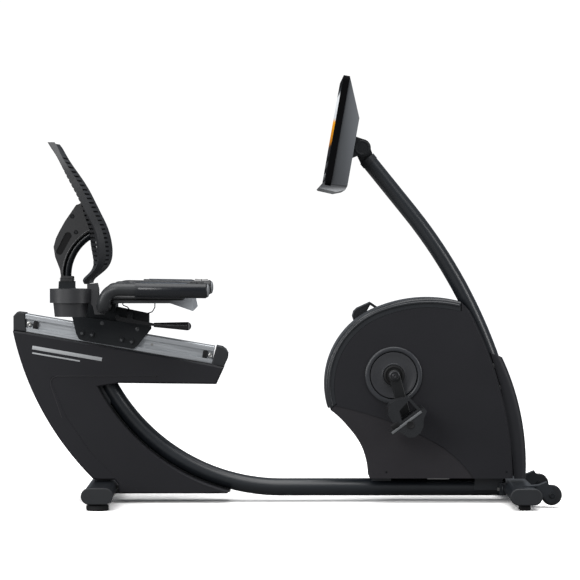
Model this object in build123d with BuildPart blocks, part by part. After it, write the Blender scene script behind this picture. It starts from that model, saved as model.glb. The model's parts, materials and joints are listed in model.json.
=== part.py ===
from build123d import *
import os
from math import cos, radians, sin

# Recumbent exercise bike. Millimetres, +Z up, +X from the backrest towards the console,
# origin on the floor at the middle of the bike. The rider's right-hand side is -Y.

# ---------------------------------------------------------------- driving dimensions
HALF_LENGTH = 743.5
HALF_TRACK = 280.0
FIT = 0.05
AIR = 0.3
WALL = 3.0

TUBE_WIDTH, TUBE_DEPTH, TUBE_GAUGE = 60.0, 48.0, 2.5
TUBE_Z = 40.0
TUBE_FRONT_X = 606.0
BEND_X = -10.0
BEND_RADIUS = 541.0
BEND_ANGLE = 62.0
BEND_CENTRE = (BEND_X, TUBE_Z + BEND_RADIUS)

REAR_BAR = (-501.0, 40.0)
FRONT_BAR = (639.0, 37.0)
BAR_LENGTH, BAR_DEPTH = 80.0, 38.0
CAP_LENGTH, CAP_DEPTH, CAP_DEEP = 86.0, 44.0, 12.0
FOOT_Y = 245.0

WHEEL_X, WHEEL_Z, WHEEL_Y = 716.0, 33.5, 175.0
WHEEL_RADIUS, WHEEL_WIDTH = 27.5, 22.0

RAIL_SLOPE = 9.8
RAIL_WIDTH, RAIL_DEPTH = 76.0, 49.0
RAIL_REAR = (-720.0, 519.2)
RAIL_LENGTH = 535.0
CHANNEL_DEPTH, CHANNEL_HEIGHT = 14.0, 23.0

SHROUD_HALF = 60.0
SHIELD_HALF = 75.0
SHELL_INNER = 56.0
TRIM_BAND = 26.0

CRANK = (295.5, 351.0)
CRANK_LENGTH = 130.0
CRANK_LEAN = 16.7
PULLEY_RADIUS = 100.0
BELT_Y, BELT_WIDTH, BELT_THICK = 42.0, 10.0, 3.0
FLYWHEEL = (420.0, 195.0)
FLYWHEEL_RADIUS = 108.0
DRIVEN_RADIUS = 24.0
DISC_RADIUS, DISC_HOLE, BEZEL_INNER, BEZEL_OUTER = 62.0, 28.5, 65.3, 78.0
PEDAL_INNER_Y, PEDAL_OUTER_Y = 130.0, 232.0
PEDAL_TILT_RIGHT, PEDAL_TILT_LEFT = 36.6, 50.0

MAST_WIDTH, MAST_DEPTH = 56.0, 44.0
MAST_TOP = (234.5, 930.5)
MAST_ANGLE = 51.05
MAST_STRAIGHT = 168.4
MAST_RADIUS = 1381.0
MAST_SWEEP = 24.0
TILT_PIVOT = (210.7, 972.0)
TILT_RADIUS = 24.0

FACE_BOTTOM = (104.0, 867.0)
FACE_LEAN = 10.0
FACE_HEIGHT, FACE_WIDTH, FACE_THICK = 298.6, 420.0, 17.0
HOUSING_DEPTH = 61.0
BUTTON_RADIUS, BUTTON_PITCH, BUTTON_UP = 9.0, 70.0, 26.0

CARRIAGE_GAUGE = 4.0
CARRIAGE_INNER = 42.0
ROLLER_RADIUS = 11.2
ROLLER_X = (-556.0, -420.0)
LEVER_PIVOT = (-453.0, 507.0)
LEVER_Y = 120.0

GRIP_Y, GRIP_RADIUS, BAR_RADIUS = 250.0, 20.5, 17.0
CROSS_BAR = (-488.5, 541.0)
SEAT_HALF = 200.0
SEAT_FLOOR, SEAT_TOP = 550.0, 598.0
HOLDER = (-574.3, -205.0)
HOLDER_RADIUS, HOLDER_BORE = 56.0, 43.0
POST_X, POST_RADIUS, POST_BEND_Z = -599.0, 130.0, 622.0

os.makedirs("parts", exist_ok=True)


def keep(piece, name):
    """Label a finished piece and write its file."""
    piece.part.label = name
    export_step(piece.part, f"parts/{name}.step")


def side(offset=0.0):
    """Side-view plane at Y = -offset, drawn in X and Z, facing the rider's right."""
    return Plane.XZ.offset(offset)


def along(origin, angle):
    """Plane across a line in the side view that leaves origin at angle above +X."""
    direction = (cos(radians(angle)), 0, sin(radians(angle)))
    return Plane(origin=(origin[0], 0, origin[1]), x_dir=(0, 1, 0), z_dir=direction)


def other_side(part):
    """The same piece on the rider's left."""
    return mirror(part, about=Plane.XZ)


def on_rail(distance, drop=0.0):
    """Side-view point at a distance along the rail's top and a depth under it."""
    slope = radians(RAIL_SLOPE)
    x = RAIL_REAR[0] + distance * cos(slope) - drop * sin(slope)
    return (x, RAIL_REAR[1] - distance * sin(slope) - drop * cos(slope))


def rail_at(x, drop=0.0):
    """The point under the rail's top that stands above x, square to the rail."""
    slope = radians(RAIL_SLOPE)
    return on_rail((x - RAIL_REAR[0] + drop * sin(slope)) / cos(slope), drop)


# ---------------------------------------------------------------- stabilisers and feet
BARS = {"rear_stabiliser": REAR_BAR, "front_stabiliser": FRONT_BAR}
bar_parts = {}
for bar_name, (bar_x, bar_z) in BARS.items():
    with BuildPart() as bar:
        with BuildSketch(side()):
            with Locations((bar_x, bar_z)):
                SlotOverall(BAR_LENGTH, BAR_DEPTH)
                SlotOverall(BAR_LENGTH - 5, BAR_DEPTH - 5, mode=Mode.SUBTRACT)
        extrude(amount=HALF_TRACK - 3, both=True)
        if bar_name == "rear_stabiliser":
            with Locations((bar_x, FOOT_Y, bar_z), (bar_x, -FOOT_Y, bar_z)):
                Cylinder(5 + FIT, BAR_DEPTH, align=(Align.CENTER, Align.CENTER, Align.MAX),
                         mode=Mode.SUBTRACT)
    bar_parts[bar_name] = bar.part
    keep(bar, bar_name)

with BuildPart() as front_block:
    with BuildSketch(side()):
        with Locations(FRONT_BAR):
            SlotOverall(BAR_LENGTH, BAR_DEPTH)
    extrude(amount=HALF_TRACK, both=True)

with BuildPart() as rear_block:
    with BuildSketch(side()):
        with Locations(REAR_BAR):
            SlotOverall(BAR_LENGTH, BAR_DEPTH)
    extrude(amount=HALF_TRACK, both=True)

with BuildPart() as stabiliser_caps:
    for bar_x, bar_z in BARS.values():
        for hand in (-1, 1):
            inner = hand * (HALF_TRACK - CAP_DEEP)
            with BuildSketch(side(-inner)):
                with Locations((bar_x, bar_z)):
                    SlotOverall(CAP_LENGTH, CAP_DEPTH)
            extrude(amount=-hand * CAP_DEEP)
    fillet(stabiliser_caps.edges().filter_by(Plane.XZ).group_by(Axis.Y)[0], 3)
    fillet(stabiliser_caps.edges().filter_by(Plane.XZ).group_by(Axis.Y)[-1], 3)
    add(bar_parts["rear_stabiliser"], mode=Mode.SUBTRACT)
    add(bar_parts["front_stabiliser"], mode=Mode.SUBTRACT)
keep(stabiliser_caps, "stabiliser_caps")

with BuildPart() as front_feet:
    for hand in (-1, 1):
        with BuildSketch(Plane.XY):
            with Locations((FRONT_BAR[0] - 2, hand * FOOT_Y)):
                RectangleRounded(30, 36, 5)
        extrude(amount=FRONT_BAR[1] - BAR_DEPTH / 2)
    chamfer(front_feet.edges().group_by(Axis.Z)[0], 2)
keep(front_feet, "front_feet")

for hand, foot_name in ((-1, "levelling_foot_right"), (1, "levelling_foot_left")):
    with BuildPart() as foot:
        with Locations((REAR_BAR[0], hand * FOOT_Y, 0)):
            Cylinder(30, 15, align=(Align.CENTER, Align.CENTER, Align.MIN))
        fillet(foot.edges().group_by(Axis.Z)[0], 4)
        chamfer(foot.edges().group_by(Axis.Z)[-1], 2)
        with Locations((REAR_BAR[0], hand * FOOT_Y, 15)):
            Cylinder(5, 30, align=(Align.CENTER, Align.CENTER, Align.MIN))
    keep(foot, foot_name)

# ---------------------------------------------------------------- transport wheels
BRACKET_SPAN = 14.0
with BuildPart() as wheel_brackets:
    for hand in (-1, 1):
        centre_y = hand * WHEEL_Y
        for cheek in (-1, 1):
            with BuildSketch(side(-(centre_y + cheek * BRACKET_SPAN))):
                with BuildLine():
                    Polyline((668, 52), (684, 58), (703, 66), (714, 59), (729, 33), (722, 17), (709, 12.5),
                             (694, 26), (676, 40), close=True)
                make_face()
                with Locations((WHEEL_X, WHEEL_Z)):
                    Circle(4 + FIT, mode=Mode.SUBTRACT)
            extrude(amount=1.5, both=True)
        with BuildSketch(side(-centre_y)):
            with BuildLine():
                Polyline((640, 57.5), (682, 61), (703, 69.5), (705, 66), (684, 57.5), (660, 53.5),
                         (640, 53.5), close=True)
            make_face()
        extrude(amount=BRACKET_SPAN + 1.5, both=True)
    add(front_block.part, mode=Mode.SUBTRACT)
keep(wheel_brackets, "wheel_brackets")

with BuildPart() as transport_wheels:
    for hand in (-1, 1):
        with BuildSketch(side(-hand * WHEEL_Y)):
            with Locations((WHEEL_X, WHEEL_Z)):
                Circle(WHEEL_RADIUS)
        extrude(amount=WHEEL_WIDTH / 2, both=True)
    fillet(transport_wheels.edges().filter_by(GeomType.CIRCLE), 3)
    for hand in (-1, 1):
        for face in (-1, 1):
            with BuildSketch(side(-hand * WHEEL_Y - face * WHEEL_WIDTH / 2)):
                with Locations((WHEEL_X, WHEEL_Z)):
                    Circle(20)
                    Circle(9, mode=Mode.SUBTRACT)
            extrude(amount=-face * 5, mode=Mode.SUBTRACT)
        with BuildSketch(side(-hand * WHEEL_Y)):
            with Locations((WHEEL_X, WHEEL_Z)):
                Circle(4 + FIT)
        extrude(amount=WHEEL_WIDTH, both=True, mode=Mode.SUBTRACT)
keep(transport_wheels, "transport_wheels")

# ---------------------------------------------------------------- welded frame
bend_end = (BEND_CENTRE[0] - BEND_RADIUS * sin(radians(BEND_ANGLE)),
            BEND_CENTRE[1] - BEND_RADIUS * cos(radians(BEND_ANGLE)))
TAIL = 106.0
tail_end = (bend_end[0] - TAIL * cos(radians(BEND_ANGLE)), bend_end[1] + TAIL * sin(radians(BEND_ANGLE)))
with BuildPart() as main_tube:
    with BuildLine(side()) as tube_run:
        Line((TUBE_FRONT_X, TUBE_Z), (BEND_X, TUBE_Z))
        CenterArc(BEND_CENTRE, BEND_RADIUS, 270, -BEND_ANGLE)
        Line(bend_end, tail_end)
    with BuildSketch(Plane(origin=(TUBE_FRONT_X, 0, TUBE_Z), x_dir=(0, 1, 0), z_dir=(-1, 0, 0))):
        Ellipse(TUBE_WIDTH / 2, TUBE_DEPTH / 2)
        Ellipse(TUBE_WIDTH / 2 - TUBE_GAUGE, TUBE_DEPTH / 2 - TUBE_GAUGE, mode=Mode.SUBTRACT)
    sweep(path=tube_run.wires()[0])
    with BuildSketch(side()):
        with Locations((FRONT_BAR[0] - BAR_LENGTH / 2 - 3, FRONT_BAR[1])):
            Rectangle(18, 34)
    extrude(amount=48, both=True)
    add(front_block.part, mode=Mode.SUBTRACT)

SADDLE = (-620.0, -300.0)
saddle_drop = RAIL_DEPTH + AIR
with BuildPart() as rear_frame:
    with BuildSketch(side()):
        with BuildLine():
            Polyline((-523, 40), (-479, 40), (-479, 345), (-523, 345), close=True)
        make_face()
    extrude(amount=22, both=True)
    with BuildSketch(side()):
        with BuildLine():
            Polyline(rail_at(SADDLE[0], saddle_drop), rail_at(SADDLE[1], saddle_drop),
                     rail_at(SADDLE[1], saddle_drop + 6), rail_at(SADDLE[0], saddle_drop + 6), close=True)
        make_face()
    extrude(amount=32, both=True)
    add(rear_block.part, mode=Mode.SUBTRACT)
    with BuildSketch(along(bend_end, 180 - BEND_ANGLE)):
        Ellipse(TUBE_WIDTH / 2, TUBE_DEPTH / 2)
    extrude(amount=TAIL - 10, mode=Mode.SUBTRACT)
    with BuildLine(side()) as clear_run:
        CenterArc(BEND_CENTRE, BEND_RADIUS, 270, -BEND_ANGLE)
    with BuildSketch(Plane(origin=(BEND_X, 0, TUBE_Z), x_dir=(0, 1, 0), z_dir=(-1, 0, 0))):
        Ellipse(TUBE_WIDTH / 2, TUBE_DEPTH / 2)
    sweep(path=clear_run.wires()[0], mode=Mode.SUBTRACT)
rear_solids = [piece for piece in rear_frame.part.solids() if piece.volume > 3000]
with BuildPart() as rear_frame_clean:
    for piece in rear_solids:
        add(piece)

with BuildPart() as tube_trim:
    add(main_tube.part)
    with BuildSketch(side()):
        with BuildLine():
            Polyline(rail_at(SADDLE[0], saddle_drop + 6), rail_at(SADDLE[1], saddle_drop + 6),
                     (SADDLE[1], 560), (SADDLE[0] - 40, 560), close=True)
        make_face()
    extrude(amount=60, both=True, mode=Mode.SUBTRACT)
keep(tube_trim, "main_tube")
keep(rear_frame_clean, "rear_frame")

with BuildPart() as tube_solid:
    with BuildSketch(Plane(origin=(TUBE_FRONT_X, 0, TUBE_Z), x_dir=(0, 1, 0), z_dir=(-1, 0, 0))):
        Ellipse(TUBE_WIDTH / 2, TUBE_DEPTH / 2)
    extrude(amount=TUBE_FRONT_X)

with BuildPart() as crank_post:
    with BuildSketch(side()):
        with BuildLine():
            Polyline((235, 45), (290, 45), (312, CRANK[1]), (276, CRANK[1]), close=True)
        make_face()
    extrude(amount=20, both=True)
    with BuildSketch(side()):
        with Locations(CRANK):
            Circle(24)
    extrude(amount=34, both=True)
    with BuildSketch(side()):
        with Locations(CRANK):
            Circle(17.5)
    extrude(amount=40, both=True, mode=Mode.SUBTRACT)
    add(tube_solid.part, mode=Mode.SUBTRACT)
crank_post_solids = crank_post.part.solids().sort_by(SortBy.VOLUME)
with BuildPart() as crank_post_clean:
    add(crank_post_solids[-1])
keep(crank_post_clean, "crank_post")

AXLE_RADIUS = 6.0
with BuildPart() as flywheel_bracket:
    for low, high in ((-34.0, -30.0), (50.0, 54.0)):
        with BuildSketch(side(-high)):
            with BuildLine():
                Polyline((392, 66), (448, 66), (434, 212), (406, 212), close=True)
            make_face()
            with Locations(FLYWHEEL):
                Circle(AXLE_RADIUS, mode=Mode.SUBTRACT)
        extrude(amount=high - low)
    with BuildSketch(side(-54)):
        with Locations((420, 66)):
            Rectangle(60, 5)
    extrude(amount=88)
    add(tube_solid.part, mode=Mode.SUBTRACT)
    with BuildSketch(side(-62)):
        with Locations(FLYWHEEL):
            Circle(AXLE_RADIUS)
    extrude(amount=104)
    for start in (54.0, -42.0):
        with BuildSketch(side(-start - 8)):
            with Locations(FLYWHEEL):
                RegularPolygon(10, 6)
        extrude(amount=8)
keep(flywheel_bracket, "flywheel_bracket")

with BuildPart() as mast_post:
    with BuildSketch(side(30.3)):
        with BuildLine():
            Polyline((520, 34), (590, 34), (597, 62), (636, 150), (624, 250), (574, 387), (541, 387),
                     (556, 270), (528, 252), (528, 228), (552, 222), (545, 150), (520, 62), close=True)
        make_face()
        with Locations((538, 240)):
            Circle(4 + FIT, mode=Mode.SUBTRACT)
    extrude(amount=4)
    other_cheek = mirror(mast_post.part, about=Plane.XZ, mode=Mode.PRIVATE)
    add(other_cheek)
    with BuildSketch(side()):
        with BuildLine():
            Polyline((548, 62), (588, 62), (588, 70), (548, 70), close=True)
        make_face()
    extrude(amount=34.3, both=True)
    add(tube_solid.part, mode=Mode.SUBTRACT)
    add(tube_trim.part, mode=Mode.SUBTRACT)
keep(mast_post, "mast_post")

# ---------------------------------------------------------------- mast
mast_tangent = (cos(radians(MAST_ANGLE)), -sin(radians(MAST_ANGLE)))
with BuildPart() as mast:
    with BuildLine(side()) as mast_run:
        straight = PolarLine(MAST_TOP, MAST_STRAIGHT, direction=mast_tangent)
        JernArc(straight @ 1, mast_tangent, MAST_RADIUS, -MAST_SWEEP)
    with BuildSketch(along(MAST_TOP, -MAST_ANGLE)):
        Ellipse(MAST_WIDTH / 2, MAST_DEPTH / 2)
        Ellipse(MAST_WIDTH / 2 - TUBE_GAUGE, MAST_DEPTH / 2 - TUBE_GAUGE, mode=Mode.SUBTRACT)
    sweep(path=mast_run.wires()[0])
keep(mast, "mast")

with BuildPart() as mast_hole:
    with BuildLine(side()) as mast_clear:
        straight = PolarLine(MAST_TOP, MAST_STRAIGHT, direction=mast_tangent)
        JernArc(straight @ 1, mast_tangent, MAST_RADIUS, -MAST_SWEEP)
    with BuildSketch(along(MAST_TOP, -MAST_ANGLE)):
        Ellipse(MAST_WIDTH / 2 + 1, MAST_DEPTH / 2 + 1)
    sweep(path=mast_clear.wires()[0])

COVER_HALF = 48.0


def cover_outline():
    """Side outline of the mast's front cover."""
    ThreePointArc((595, 398), (648, 236), (660, 66))
    Polyline((660, 66), (627, 66), (622, 130), (602, 257), (589, 322), (562, 410), (595, 398))


with BuildPart() as mast_cover:
    with BuildSketch(side()):
        with BuildLine():
            cover_outline()
        make_face()
    extrude(amount=COVER_HALF, both=True)
    fillet(mast_cover.edges().filter_by(GeomType.CIRCLE).group_by(Axis.Y)[0], 16)
    fillet(mast_cover.edges().filter_by(GeomType.CIRCLE).group_by(Axis.Y)[-1], 16)
    with BuildSketch(side()):
        with BuildLine():
            Polyline((550, 60), (550, 394), (592, 390), (612, 330), (628, 270), (640, 205), (648, 130),
                     (650, 60), close=True)
        make_face()
    extrude(amount=COVER_HALF - WALL, both=True, mode=Mode.SUBTRACT)
    add(mast_hole.part, mode=Mode.SUBTRACT)
    with BuildSketch(side()):
        with Locations((660, 105)):
            Rectangle(30, 12)
    extrude(amount=6 + AIR, both=True, mode=Mode.SUBTRACT)
keep(mast_cover, "mast_cover")

collar_plane = along(MAST_TOP, 180 - MAST_ANGLE)
with BuildPart() as mast_knuckle:
    with BuildSketch(collar_plane):
        Ellipse(MAST_WIDTH / 2 + 1.5, MAST_DEPTH / 2 + 1.5)
    extrude(amount=16)
    with BuildSketch(side()):
        with BuildLine():
            Polyline((226, 922), (246, 938), (233, 975), (190, 968), (208, 930), close=True)
        make_face()
        with Locations(TILT_PIVOT):
            Circle(TILT_RADIUS)
    extrude(amount=15, both=True)
    with BuildSketch(side()):
        with Locations(TILT_PIVOT):
            Circle(6 + FIT)
    extrude(amount=20, both=True, mode=Mode.SUBTRACT)
    add(mast.part, mode=Mode.SUBTRACT)
keep(mast_knuckle, "mast_knuckle")

# ---------------------------------------------------------------- rail
rail_plane = along(RAIL_REAR, -RAIL_SLOPE)
with BuildPart() as rail:
    with BuildSketch(rail_plane):
        with Locations((0, -RAIL_DEPTH / 2)):
            RectangleRounded(RAIL_WIDTH, RAIL_DEPTH, 2.5)
        with Locations((RAIL_WIDTH / 2 - CHANNEL_DEPTH / 2, -RAIL_DEPTH / 2),
                       (CHANNEL_DEPTH / 2 - RAIL_WIDTH / 2, -RAIL_DEPTH / 2)):
            Rectangle(CHANNEL_DEPTH, CHANNEL_HEIGHT, mode=Mode.SUBTRACT)
        with Locations((0, -RAIL_DEPTH / 2)):
            Rectangle(40, RAIL_DEPTH - 10, mode=Mode.SUBTRACT)
        with Locations((RAIL_WIDTH / 2, -7), (-RAIL_WIDTH / 2, -7)):
            Rectangle(1.6, 1.2, mode=Mode.SUBTRACT)
        with Locations((RAIL_WIDTH / 2, -RAIL_DEPTH + 6), (-RAIL_WIDTH / 2, -RAIL_DEPTH + 6)):
            Rectangle(1.6, 1.2, mode=Mode.SUBTRACT)
    extrude(amount=RAIL_LENGTH)
keep(rail, "rail")

CAP_HALF = 41.0
BUMPERS = (-683.0, -218.0)
with BuildPart() as rail_ends:
    with BuildSketch(side()):
        with BuildLine():
            Polyline((-HALF_LENGTH, 472), (-HALF_LENGTH, 512), (-733, 523), (-711, 520.5), (-708, 468),
                     close=True)
        make_face()
        with BuildLine():
            Polyline((-203, 376.5), (-168, 372), (-157, 396), (-156, 409), (-162, 420), (-172, 427),
                     (-188, 430.5), close=True)
        make_face()
    extrude(amount=CAP_HALF, both=True)
    fillet(rail_ends.edges().filter_by(Plane.XZ).group_by(Axis.Y)[0], 3)
    fillet(rail_ends.edges().filter_by(Plane.XZ).group_by(Axis.Y)[-1], 3)
    add(rail.part, mode=Mode.SUBTRACT)
    for stop_x in BUMPERS:
        stop = rail_at(stop_x, RAIL_DEPTH / 2)
        for inner_y in (-36.0, 25.0):
            with BuildSketch(side(-inner_y - 11)):
                with Locations(stop):
                    Circle(8)
            extrude(amount=11)
    end_solids = [piece for piece in rail_ends.solids() if piece.volume > 400]
with BuildPart() as rail_ends_clean:
    for piece in end_solids:
        add(piece)
keep(rail_ends_clean, "rail_ends")

# ---------------------------------------------------------------- rear shroud
UNDERSIDE_RADIUS = BEND_RADIUS + TUBE_DEPTH / 2 + 1


def under_tube(x):
    """Height of the main tube's lower side above x, for the shroud's front edge."""
    return BEND_CENTRE[1] - (UNDERSIDE_RADIUS**2 - (x - BEND_CENTRE[0]) ** 2) ** 0.5


def shroud_outline():
    """Side outline of the rear shroud with its beam under the rail."""
    top_rear = (-HALF_LENGTH, 471.8)
    heel = (-525, 67)
    ThreePointArc(top_rear, (-664, 253.6), heel)
    Polyline(heel, (-510, 64.5), (-466, 64.5), (-456, 52), (-456, 27), (-160, 27), (-150, under_tube(-150)))
    ThreePointArc((-150, under_tube(-150)), (-365, under_tube(-365)), (-512, under_tube(-512)))
    Polyline((-512, under_tube(-512)), (-455, 329), (-188, 326), (-167, 371.5),
             rail_at(-203, saddle_drop), rail_at(-708, saddle_drop), top_rear)


with BuildPart() as rear_shroud_right:
    with BuildSketch(side()):
        with BuildLine():
            shroud_outline()
        make_face()
    extrude(amount=SHROUD_HALF)
    outer_rim = rear_shroud_right.edges().filter_by(Plane.XZ).group_by(Axis.Y)[0]
    chamfer(outer_rim, 4)
    with BuildSketch(side()):
        with BuildLine():
            shroud_outline()
        make_face()
        offset(amount=-WALL)
    extrude(amount=SHROUD_HALF - 7, mode=Mode.SUBTRACT)
    with BuildSketch(side(SHROUD_HALF - 7)):
        with BuildLine():
            shroud_outline()
        make_face()
        offset(amount=-8)
    extrude(amount=4, mode=Mode.SUBTRACT)
    with BuildSketch(side()):
        with BuildLine():
            Polyline((-530, 318), (-440, 318), (-440, 342), (-530, 342), close=True)
        make_face()
        with Locations((-501, 70)):
            Rectangle(46, 40)
        with Locations((-501, 298)):
            Rectangle(46, 104)
    extrude(amount=TUBE_WIDTH / 2 + 1, mode=Mode.SUBTRACT)
    with BuildSketch(side()):
        with BuildLine():
            Polyline(rail_at(-706, saddle_drop - 2), rail_at(-206, saddle_drop - 2),
                     rail_at(-206, saddle_drop + 8),
                     rail_at(-706, saddle_drop + 8), close=True)
        make_face()
    extrude(amount=RAIL_WIDTH / 2 + AIR, mode=Mode.SUBTRACT)
    add(rail_ends_clean.part, mode=Mode.SUBTRACT)
    with BuildSketch(side(SHROUD_HALF - 1.2)):
        with BuildLine():
            Polyline((-642, 340), (-634, 348), (-350, 348), (-350, 334), (-455, 334), (-480, 300),
                     (-430, 200), (-330, 120), (-399, 34), (-460, 70), (-531, 138), (-600, 240), close=True)
        make_face()
        fillet(vertices().group_by(Axis.X)[0], 3)
    extrude(amount=1.2, mode=Mode.SUBTRACT)
shroud_left_half = other_side(rear_shroud_right.part)
with BuildPart() as rear_shroud_left:
    add(shroud_left_half)
keep(rear_shroud_right, "rear_shroud_right")
keep(rear_shroud_left, "rear_shroud_left")

# ---------------------------------------------------------------- drive housing
RIM_CENTRE, RIM_RADIUS = (331.5, 330.0), 219.0
RIM_LOW = (RIM_CENTRE[0] - 215.6, 262.0)
RIM_SHOULDER = (263.0, 538.0)
RIM_TOP, RIM_END = (375.0, 561.5), (478.0, 551.6)
FRONT_TOP, FRONT_MID, FRONT_LOW = (503.0, 526.5), (584.6, 322.0), (621.0, 69.0)
SEAM_HIGH, SEAM_MID, SEAM_LOW = (135.0, 268.0), (394.0, 175.3), (513.8, 69.0)


def rim_line():
    """Outer line of the drive housing from its low rear corner over the top."""
    ThreePointArc(RIM_LOW, (176.6, 484.9), RIM_SHOULDER)
    ThreePointArc(RIM_SHOULDER, RIM_TOP, RIM_END)


with BuildPart() as rim_solid:
    with BuildSketch(side()):
        with BuildLine():
            rim_line()
            Polyline(RIM_END, (478, 490), (300, 300), (RIM_CENTRE[0] - 120, 262), RIM_LOW)
        make_face()
    extrude(amount=SHIELD_HALF - 1, both=True)
    rim_edges = rim_solid.edges().filter_by(GeomType.CIRCLE)
    fillet(rim_edges.group_by(Axis.Y)[0] + rim_edges.group_by(Axis.Y)[-1], 9)


def seam_line():
    """The falling seam between a drive shield and the lower panel."""
    ThreePointArc(SEAM_LOW, (462, 129.5), SEAM_MID)
    ThreePointArc(SEAM_MID, (271.5, 229.8), SEAM_HIGH)


def face_outline():
    """Side outline of a drive shield, inside the rim hoop and above the lower panel."""
    inner = RIM_RADIUS - TRIM_BAND
    low = (RIM_CENTRE[0] - inner + 2, 270.0)
    shoulder = (RIM_CENTRE[0] - inner * 0.31, RIM_CENTRE[1] + inner * 0.95)
    ThreePointArc(low, (RIM_CENTRE[0] - inner * 0.7071, RIM_CENTRE[1] + inner * 0.7071), shoulder)
    ThreePointArc(shoulder, (375, 535), (474, 525.5))
    Polyline((474, 525.5), (480.6, 525.5), (480.6, 549), FRONT_TOP)
    ThreePointArc(FRONT_TOP, FRONT_MID, FRONT_LOW)
    Line(FRONT_LOW, SEAM_LOW)
    seam_line()
    Line(SEAM_HIGH, low)


with BuildPart() as face_block:
    with BuildSketch(side()):
        with BuildLine():
            face_outline()
        make_face()
        offset(amount=0.6)
    extrude(amount=SHIELD_HALF + 5, both=True)

with BuildPart() as shield_trim:
    add(rim_solid.part)
    add(face_block.part, mode=Mode.SUBTRACT)
    with BuildSketch(side()):
        with BuildLine():
            rim_line()
            Polyline(RIM_END, (478, 490), (300, 300), (RIM_CENTRE[0] - 120, 262), RIM_LOW)
        make_face()
        offset(amount=-WALL)
    extrude(amount=SHIELD_HALF - 10, both=True, mode=Mode.SUBTRACT)
    with BuildSketch(side()):
        Rectangle(1200, 400, align=(Align.CENTER, Align.MAX))
        with Locations((480, 250)):
            Rectangle(330, 480, align=(Align.MIN, Align.MIN))
        with Locations((0, 262)):
            Rectangle(1200, 300, align=(Align.CENTER, Align.MAX))
        with BuildLine():
            Polyline((122, 254), (122, 257), (142, 277), (170, 277), (170, 240), close=True)
        make_face()
    extrude(amount=SHIELD_HALF + 5, both=True, mode=Mode.SUBTRACT)
    add(mast_hole.part, mode=Mode.SUBTRACT)
    trim_solids = shield_trim.solids().sort_by(SortBy.VOLUME)
trim_hoop = trim_solids[-1]
with BuildPart() as shield_trim_clean:
    add(trim_hoop)
    for hand in (-1, 1):
        with BuildSketch(side(SHIELD_HALF if hand < 0 else -SHIELD_HALF - 4)):
            with Locations(CRANK):
                Circle(BEZEL_OUTER)
                Circle(BEZEL_INNER, mode=Mode.SUBTRACT)
        extrude(amount=4)
keep(shield_trim_clean, "shield_trim")

with BuildPart() as drive_shield_right:
    with BuildSketch(side(SHELL_INNER)):
        with BuildLine():
            face_outline()
        make_face()
    extrude(amount=SHIELD_HALF - SHELL_INNER)
    front_edge = drive_shield_right.edges().filter_by(GeomType.CIRCLE).group_by(Axis.Y)[0].sort_by(Axis.X)[-1]
    chamfer(front_edge, 6)
    with BuildSketch(side(SHELL_INNER)):
        with BuildLine():
            face_outline()
        make_face()
        offset(amount=-WALL)
    extrude(amount=SHIELD_HALF - SHELL_INNER - WALL - 5, mode=Mode.SUBTRACT)
    with BuildSketch(side(SHELL_INNER)):
        with BuildLine():
            face_outline()
        make_face()
        offset(amount=-9)
    extrude(amount=SHIELD_HALF - SHELL_INNER - WALL, mode=Mode.SUBTRACT)
    with BuildSketch(side(SHELL_INNER)):
        with Locations(CRANK):
            Circle(BEZEL_INNER)
    extrude(amount=30, mode=Mode.SUBTRACT)
    with BuildSketch(side(MAST_WIDTH / 2 + 1.5)):
        with BuildLine():
            Line((479, 550), FRONT_TOP)
            ThreePointArc(FRONT_TOP, FRONT_MID, FRONT_LOW)
            Line(FRONT_LOW, (FRONT_LOW[0] - WALL, FRONT_LOW[1]))
            ThreePointArc((FRONT_LOW[0] - WALL, FRONT_LOW[1]), (FRONT_MID[0] - WALL, FRONT_MID[1]),
                          (FRONT_TOP[0] - WALL, FRONT_TOP[1] - 1))
            Polyline((FRONT_TOP[0] - WALL, FRONT_TOP[1] - 1), (479, 546), (479, 550))
        make_face()
    extrude(amount=SHIELD_HALF - WALL - MAST_WIDTH / 2 - 1.5)
    with BuildSketch(side()):
        with Locations((580, 236)):
            Rectangle(160, 350)
    extrude(amount=COVER_HALF + 0.6, mode=Mode.SUBTRACT)
    with BuildSketch(side(SHIELD_HALF - 2)):
        with Locations((604, 86)):
            Circle(3)
    extrude(amount=4, mode=Mode.SUBTRACT)
    add(mast_hole.part, mode=Mode.SUBTRACT)
shield_left_half = other_side(drive_shield_right.part)
with BuildPart() as drive_shield_left:
    add(shield_left_half)
keep(drive_shield_right, "drive_shield_right")
keep(drive_shield_left, "drive_shield_left")


def panel_outline():
    """Side outline of a lower panel, under the seam and behind the drive shield."""
    seam_line()
    Line(SEAM_LOW, (230, 69))
    ThreePointArc((230, 69), (214.4, 142), (172, 208.6))
    ThreePointArc((172, 208.6), (150, 233), (123, 256))
    Line((123, 256), SEAM_HIGH)


with BuildPart() as lower_panel_right:
    with BuildSketch(side(SHELL_INNER)):
        with BuildLine():
            panel_outline()
        make_face()
        offset(amount=-0.4)
    extrude(amount=SHIELD_HALF - 1.5 - SHELL_INNER)
    with BuildSketch(side(SHELL_INNER)):
        with BuildLine():
            panel_outline()
        make_face()
        offset(amount=-WALL)
    extrude(amount=SHIELD_HALF - 1.5 - WALL - SHELL_INNER, mode=Mode.SUBTRACT)
    with BuildSketch(side(SHIELD_HALF - 4)):
        with Locations((276, 86)):
            Circle(3)
    extrude(amount=4, mode=Mode.SUBTRACT)
    with BuildSketch(side(0.2)):
        with BuildLine():
            ThreePointArc((230.4, 69.4), (214.8, 142), (172.4, 208.6))
            ThreePointArc((172.4, 208.6), (150.4, 233), (124, 256))
            Line((124, 256), (128, 256))
            ThreePointArc((128, 256), (154, 233.4), (175.6, 210.5))
            ThreePointArc((175.6, 210.5), (218, 142), (233.5, 69.4))
            Line((233.5, 69.4), (230.4, 69.4))
        make_face()
    extrude(amount=SHELL_INNER + 2)
panel_left_half = other_side(lower_panel_right.part)
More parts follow.
